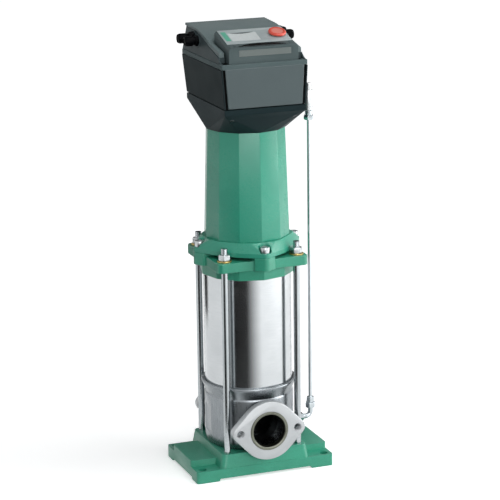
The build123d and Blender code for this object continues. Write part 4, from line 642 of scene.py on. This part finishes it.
LINE_X = 111.0
BEND_R = 9.0
bend_x, bend_z = LINE_X - BEND_R, BOSS_Z + BEND_R
elbow = turned([(4.0, 74), (4.2, 86), (4.2, bend_x)], 32, "X", (0, 0, BOSS_Z))
edit_faces(elbow, lambda face: face.normal.x > 0.9)
bpy.ops.mesh.spin(steps=14, angle=pi / 2, center=(bend_x * MM, 0, bend_z * MM), axis=(0, 1, 0))
bpy.ops.mesh.extrude_region_move(TRANSFORM_OT_translate={"value": (0, 0, 7 * MM)})
settle_mesh()
fitting = apply_place(prism(13, 86, 97, 0.6), ABOUT["X"], (0, 0, BOSS_Z))
hand_over(gather([elbow, fitting]), "line_bend", bright_line, "pump", ("line_elbow",))

TUBE_R = 3.0
tube = turned([(TUBE_R, 81), (TUBE_R, 591)], 32, place=(LINE_X, 0, 0))
hand_over(tube, "drawn_tube", bright_line, "pump", ("line_tube",))

nuts = []
for low, middle, high in ((80, 90, 99), (576, 584, 592)):
    nuts.append(apply_place(hex_nut(15, low, middle, TUBE_R + 0.05, 32), place=(LINE_X, 0, 0)))
    collar = [(5.8, middle), (6.4, middle + 0.8), (6.4, high - 1), (5.6, high)]
    nuts.append(turned(collar, 40, place=(LINE_X, 0, 0)))
hand_over(gather(nuts), "compression_nuts", bright_line, "pump", ("line_nuts",))

sensor = turned(
    [(6.6, 592), (7.5, 592.8), (7.5, 600), (7.1, 600.5), (7.1, 602), (7.5, 602.5), (7.5, 624.5), (6.6, 626),
     (5.0, 626.2), (5.0, 634), (4.4, 634.2), (4.4, 636.4), (3.8, 637)],
    48, place=(LINE_X, 0, 0),
)
hand_over(sensor, "pressure_sensor", sensor_shell, "pump", ("sensor_body",))

# CONSOLE FACE


def on_console(obj):
    """Moves a flat piece from the XY plane on to the console, with its Y up the slope."""
    obj.data.transform(Matrix.Translation(EDGE * MM) @ axes(ACROSS, UP_SLOPE, OUT))
    return obj


def lens(half, back, front, low, high):
    """A lens between two arcs that meet at x = -half and half, with their middles at y = back and front."""
    discs = []
    for bow, side in ((back, 1), (-front, -1)):
        radius = (half * half + bow * bow) / (2 * bow)
        discs.append(turned([(radius, low), (radius, high)], 360, place=(0, side * (bow - radius), 0)))
    return combine(*discs, "INTERSECT")


KNOB_PLACE = (38.8, 26.5, 0)
film = block((-55, 0.2, -0.9), (55, 51.2, 0))
film = cut(film, block((-41.5, 10.2, -2), (6.5, 38.6, 2)))
film = cut(film, turned([(3.5, -2), (3.5, 2)], 32, place=KNOB_PLACE))
on_console(round_edges(film, 0.3, 2))
hand_over(film, "console_film", film_grey, "pump", ("display_panel",))

band = block((-51.7, 11.5, 0), (-43.5, 44, 0.12))
hand_over(on_console(band), "green_band", film_green, "pump", ())

# Painted shadow in the bevel under the film: a flat gloss black lens, bowed to the back
recess = apply_place(lens(46, 12.6, -1.6, -0.8, 0.12), place=(0, -5.4, 0))
recess.data.transform(BEVEL)
hand_over(recess, "gloss_recess", bevel_black, "pump", ())

# Painted shadow along the display's upper edge: a dark bar, bowed to the front
hood = combine(lens(21, 4, -4, -0.4, 0.16), block((-21, -4, -1), (21, -0.6, 1)), "INTERSECT")
on_console(apply_place(hood, place=(-17.5, 39.6, 0)))
hand_over(hood, "display_hood", hood_grey, "pump", ())

window = on_console(round_edges(block((-41.4, 10.3, -0.9), (6.4, 38.5, -0.15)), 0.2, 1))
hand_over(window, "display_glass", display, "pump", ("display_window",))

knob = turned(
    [(12.8, 1.8), (14.0, 1.9), (14.5, 2.3), (14.4, 3.6), (14.0, 4.8), (13.2, 5.6), (12.2, 5.9), (11.2, 5.8),
     (10.2, 5.5), (8, 5.2), (4, 5.05), (1, 5.0)],
    96, place=KNOB_PLACE,
)
hand_over(on_console(knob), "adjusting_knob", knob_red, "knob", ("control_knob",))

# Painted highlight on the knob's top: a thin disc of paler red
face = turned([(11.4, 4.6), (11.4, 5.2), (11.0, 5.35), (8, 5.4), (1, 5.45)], 72, place=KNOB_PLACE)
hand_over(on_console(face), "knob_face", cap_red, "knob", ())

# CAD NODES THAT STAY, WITH THEIR FINISHES

STAY = {
    "coupling_guard": enamel_black, "label_plate": label_grey, "encoder_plunger": ground_steel,
    "inlet_cup": sheet_steel, "bottom_bush": carbon, "stage_chambers": sheet_steel,
    "guide_vanes": sheet_steel, "discharge_spacer": sheet_steel, "seal_seat": carbon, "seal_head": carbon,
    "lower_shield": alloy, "upper_shield": alloy, "lower_bearing": ground_steel,
    "upper_bearing": ground_steel, "stator_core": core_steel, "stator_windings": copper,
    "heat_sink": alloy, "power_board": board_green, "capacitors": can_black, "pump_shaft": ground_steel,
    "impellers": sheet_steel, "spacer_sleeves": sheet_steel, "coupling_halves": core_steel,
    "coupling_screws": zinc, "motor_shaft": ground_steel, "rotor_core": core_steel,
    "rotor_end_rings": alloy, "cooling_fan": fan_grey,
}
for node, material in STAY.items():
    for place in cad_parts[node].material_slots:
        place.material = material

# FLOOR, LIGHT AND CAMERA

# From here on, places are in metres. The pump's steel mirrors the card in front of it, which turns dark
# between these bearings in degrees.
DARK_FROM, DARK_FULL, DARK_ENDS, DARK_GONE = -168, -156, -112, -76
DARK = 0.012


def around(azimuth, distance, height):
    """A place round the pump in metres; azimuth 0 is +X and -90 is the inlet's side."""
    return Vector((distance * cos(radians(azimuth)), distance * sin(radians(azimuth)), height))


def in_view(tree):
    """1 for the rays that show a background: camera rays, and those seen in gloss and through glass."""
    path = add(tree, "ShaderNodeLightPath")
    seen = path.outputs["Is Camera Ray"]
    for ray in ("Is Glossy Ray", "Is Transmission Ray"):
        seen = add(tree, "ShaderNodeMath", {0: seen, 1: path.outputs[ray]}, operation="MAXIMUM").outputs[0]
    return seen


def stage_paint(name, colour, lift=0.0, far_lift=0.0, shaded=False):
    """
    Matt paint of a floor or a card. Lift is the white that it adds to itself where a ray shows it, near the
    pump and far from it. A shaded card turns dark between the bearings above.
    """
    material = bpy.data.materials.new(name)
    material.use_nodes = True
    tree = material.node_tree
    tree.nodes.clear()
    place = add(tree, "ShaderNodeTexCoord").outputs["Object"]
    away = add(tree, "ShaderNodeVectorMath", {0: place}, operation="LENGTH").outputs["Value"]
    white = ramp(tree, away, 0.4, 1.6, lift, far_lift)
    tone = 1.0
    if shaded:
        turn = add(tree, "ShaderNodeTexGradient", {"Vector": place}, gradient_type="RADIAL").outputs["Fac"]
        left = ramp(tree, turn, 0.5 + DARK_FROM / 360, 0.5 + DARK_FULL / 360, 1, DARK)
        right = ramp(tree, turn, 0.5 + DARK_ENDS / 360, 0.5 + DARK_GONE / 360, DARK, 1)
        tone = add(tree, "ShaderNodeMath", {0: left, 1: right}, operation="MAXIMUM").outputs[0]
    glow = multiply(tree, multiply(tree, in_view(tree), white), tone)
    scale = add(tree, "ShaderNodeVectorMath", {0: linear(colour)[:3], 3: tone}, operation="SCALE")
    matt = add(tree, "ShaderNodeBsdfDiffuse", {"Color": scale.outputs[0]})
    light = add(tree, "ShaderNodeEmission", {"Color": (1, 1, 1, 1), "Strength": glow})
    both = add(tree, "ShaderNodeAddShader", {0: matt.outputs[0], 1: light.outputs[0]})
    add(tree, "ShaderNodeOutputMaterial", {"Surface": both.outputs[0]})
    return material


def stage_card(name, corners, material, shown=False):
    """A flat card through its corners. A card that isn't shown casts no shadow either."""
    mesh = bpy.data.meshes.new(name)
    mesh.from_pydata([tuple(c) for c in corners], [], [tuple(range(len(corners)))])
    card = bpy.data.objects.new(name, mesh)
    bpy.context.scene.collection.objects.link(card)
    mesh.materials.append(material)
    card.visible_camera = card.visible_shadow = shown
    return card


FLOOR_HALF, FLOOR_Z, CARD_Z = 9, -0.0005, 0.001
CARD_NEAR, CARD_FAR = 0.35, 3.2
floor_paint = stage_paint("studio_floor_paint", "#f2f2f2", 0.54, 0.78)
sweep_paint = stage_paint("shaded_floor_card", "#f2f2f2", 0.54, 0.78, shaded=True)
black_paint = stage_paint("black_card", "#0b0c0d")
floor = [(x * FLOOR_HALF, y * FLOOR_HALF, FLOOR_Z) for x, y in ((-1, -1), (1, -1), (1, 1), (-1, 1))]
stage_card("floor", floor, floor_paint, shown=True)
bearings = range(DARK_FROM, DARK_GONE + 1, 4)
sweep = [around(a, CARD_NEAR, CARD_Z) for a in bearings]
sweep += [around(a, CARD_FAR, CARD_Z) for a in reversed(bearings)]
stage_card("card_front", sweep, sweep_paint)
for name, corners in (
    ("card_left", ((107, 0.95, CARD_Z), (99, 1.5, CARD_Z), (98, CARD_FAR, CARD_Z), (122, CARD_FAR, CARD_Z),
                   (126, 0.95, CARD_Z))),
    ("card_back", ((92, 2.9, 0.42), (60, 2.9, 0.42), (60, 2.9, 1.5), (92, 2.9, 1.5))),
    ("card_over", ((105, 1.9, 1.6), (35, 1.9, 1.6), (20, 0.9, 2.5), (120, 0.9, 2.5))),
):
    stage_card(name, [around(*corner) for corner in corners], black_paint)

world = bpy.data.worlds.new("studio")
bpy.context.scene.world = world
world.use_nodes = True
tree = world.node_tree
tree.nodes.clear()
soft = add(tree, "ShaderNodeBackground", {"Color": linear("#eef2f4"), "Strength": 0.32})
white = add(tree, "ShaderNodeBackground", {"Color": (1, 1, 1, 1), "Strength": 1.0})
mixed = add(tree, "ShaderNodeMixShader", {0: in_view(tree), 1: soft.outputs[0], 2: white.outputs[0]})
add(tree, "ShaderNodeOutputWorld", {"Surface": mixed.outputs[0]})

AIM = Vector((0, 0, 0.37))
for name, place, size, power in (
    ("key", around(-20, 2.0, 0.75), 1.3, 24),
    ("front", around(-97, 3.0, 1.35), 1.8, 40),
    ("top", around(-44, 1.1, 2.75), 1.3, 22),
):
    lamp = bpy.data.objects.new(name, bpy.data.lights.new(name, "AREA"))
    bpy.context.scene.collection.objects.link(lamp)
    lamp.data.size, lamp.data.energy = size, power
    lamp.location = place
    lamp.rotation_euler = (AIM - place).to_track_quat("-Z", "Y").to_euler()

camera = bpy.data.objects.new("camera", bpy.data.cameras.new("camera"))
bpy.context.scene.collection.objects.link(camera)
right = Vector((0.93443, -0.35593, -0.01281))
upward = Vector((0.10042, 0.22878, 0.96829))
camera.matrix_world = Matrix.Translation((-1.23143, -3.2796, 1.26899)) @ axes(
    right, upward, right.cross(upward)
)
camera.data.lens, camera.data.sensor_width = 158.15, 36
camera.data.clip_end = 30
bpy.context.scene.camera = camera

bpy.context.scene.view_settings.view_transform = "Standard"
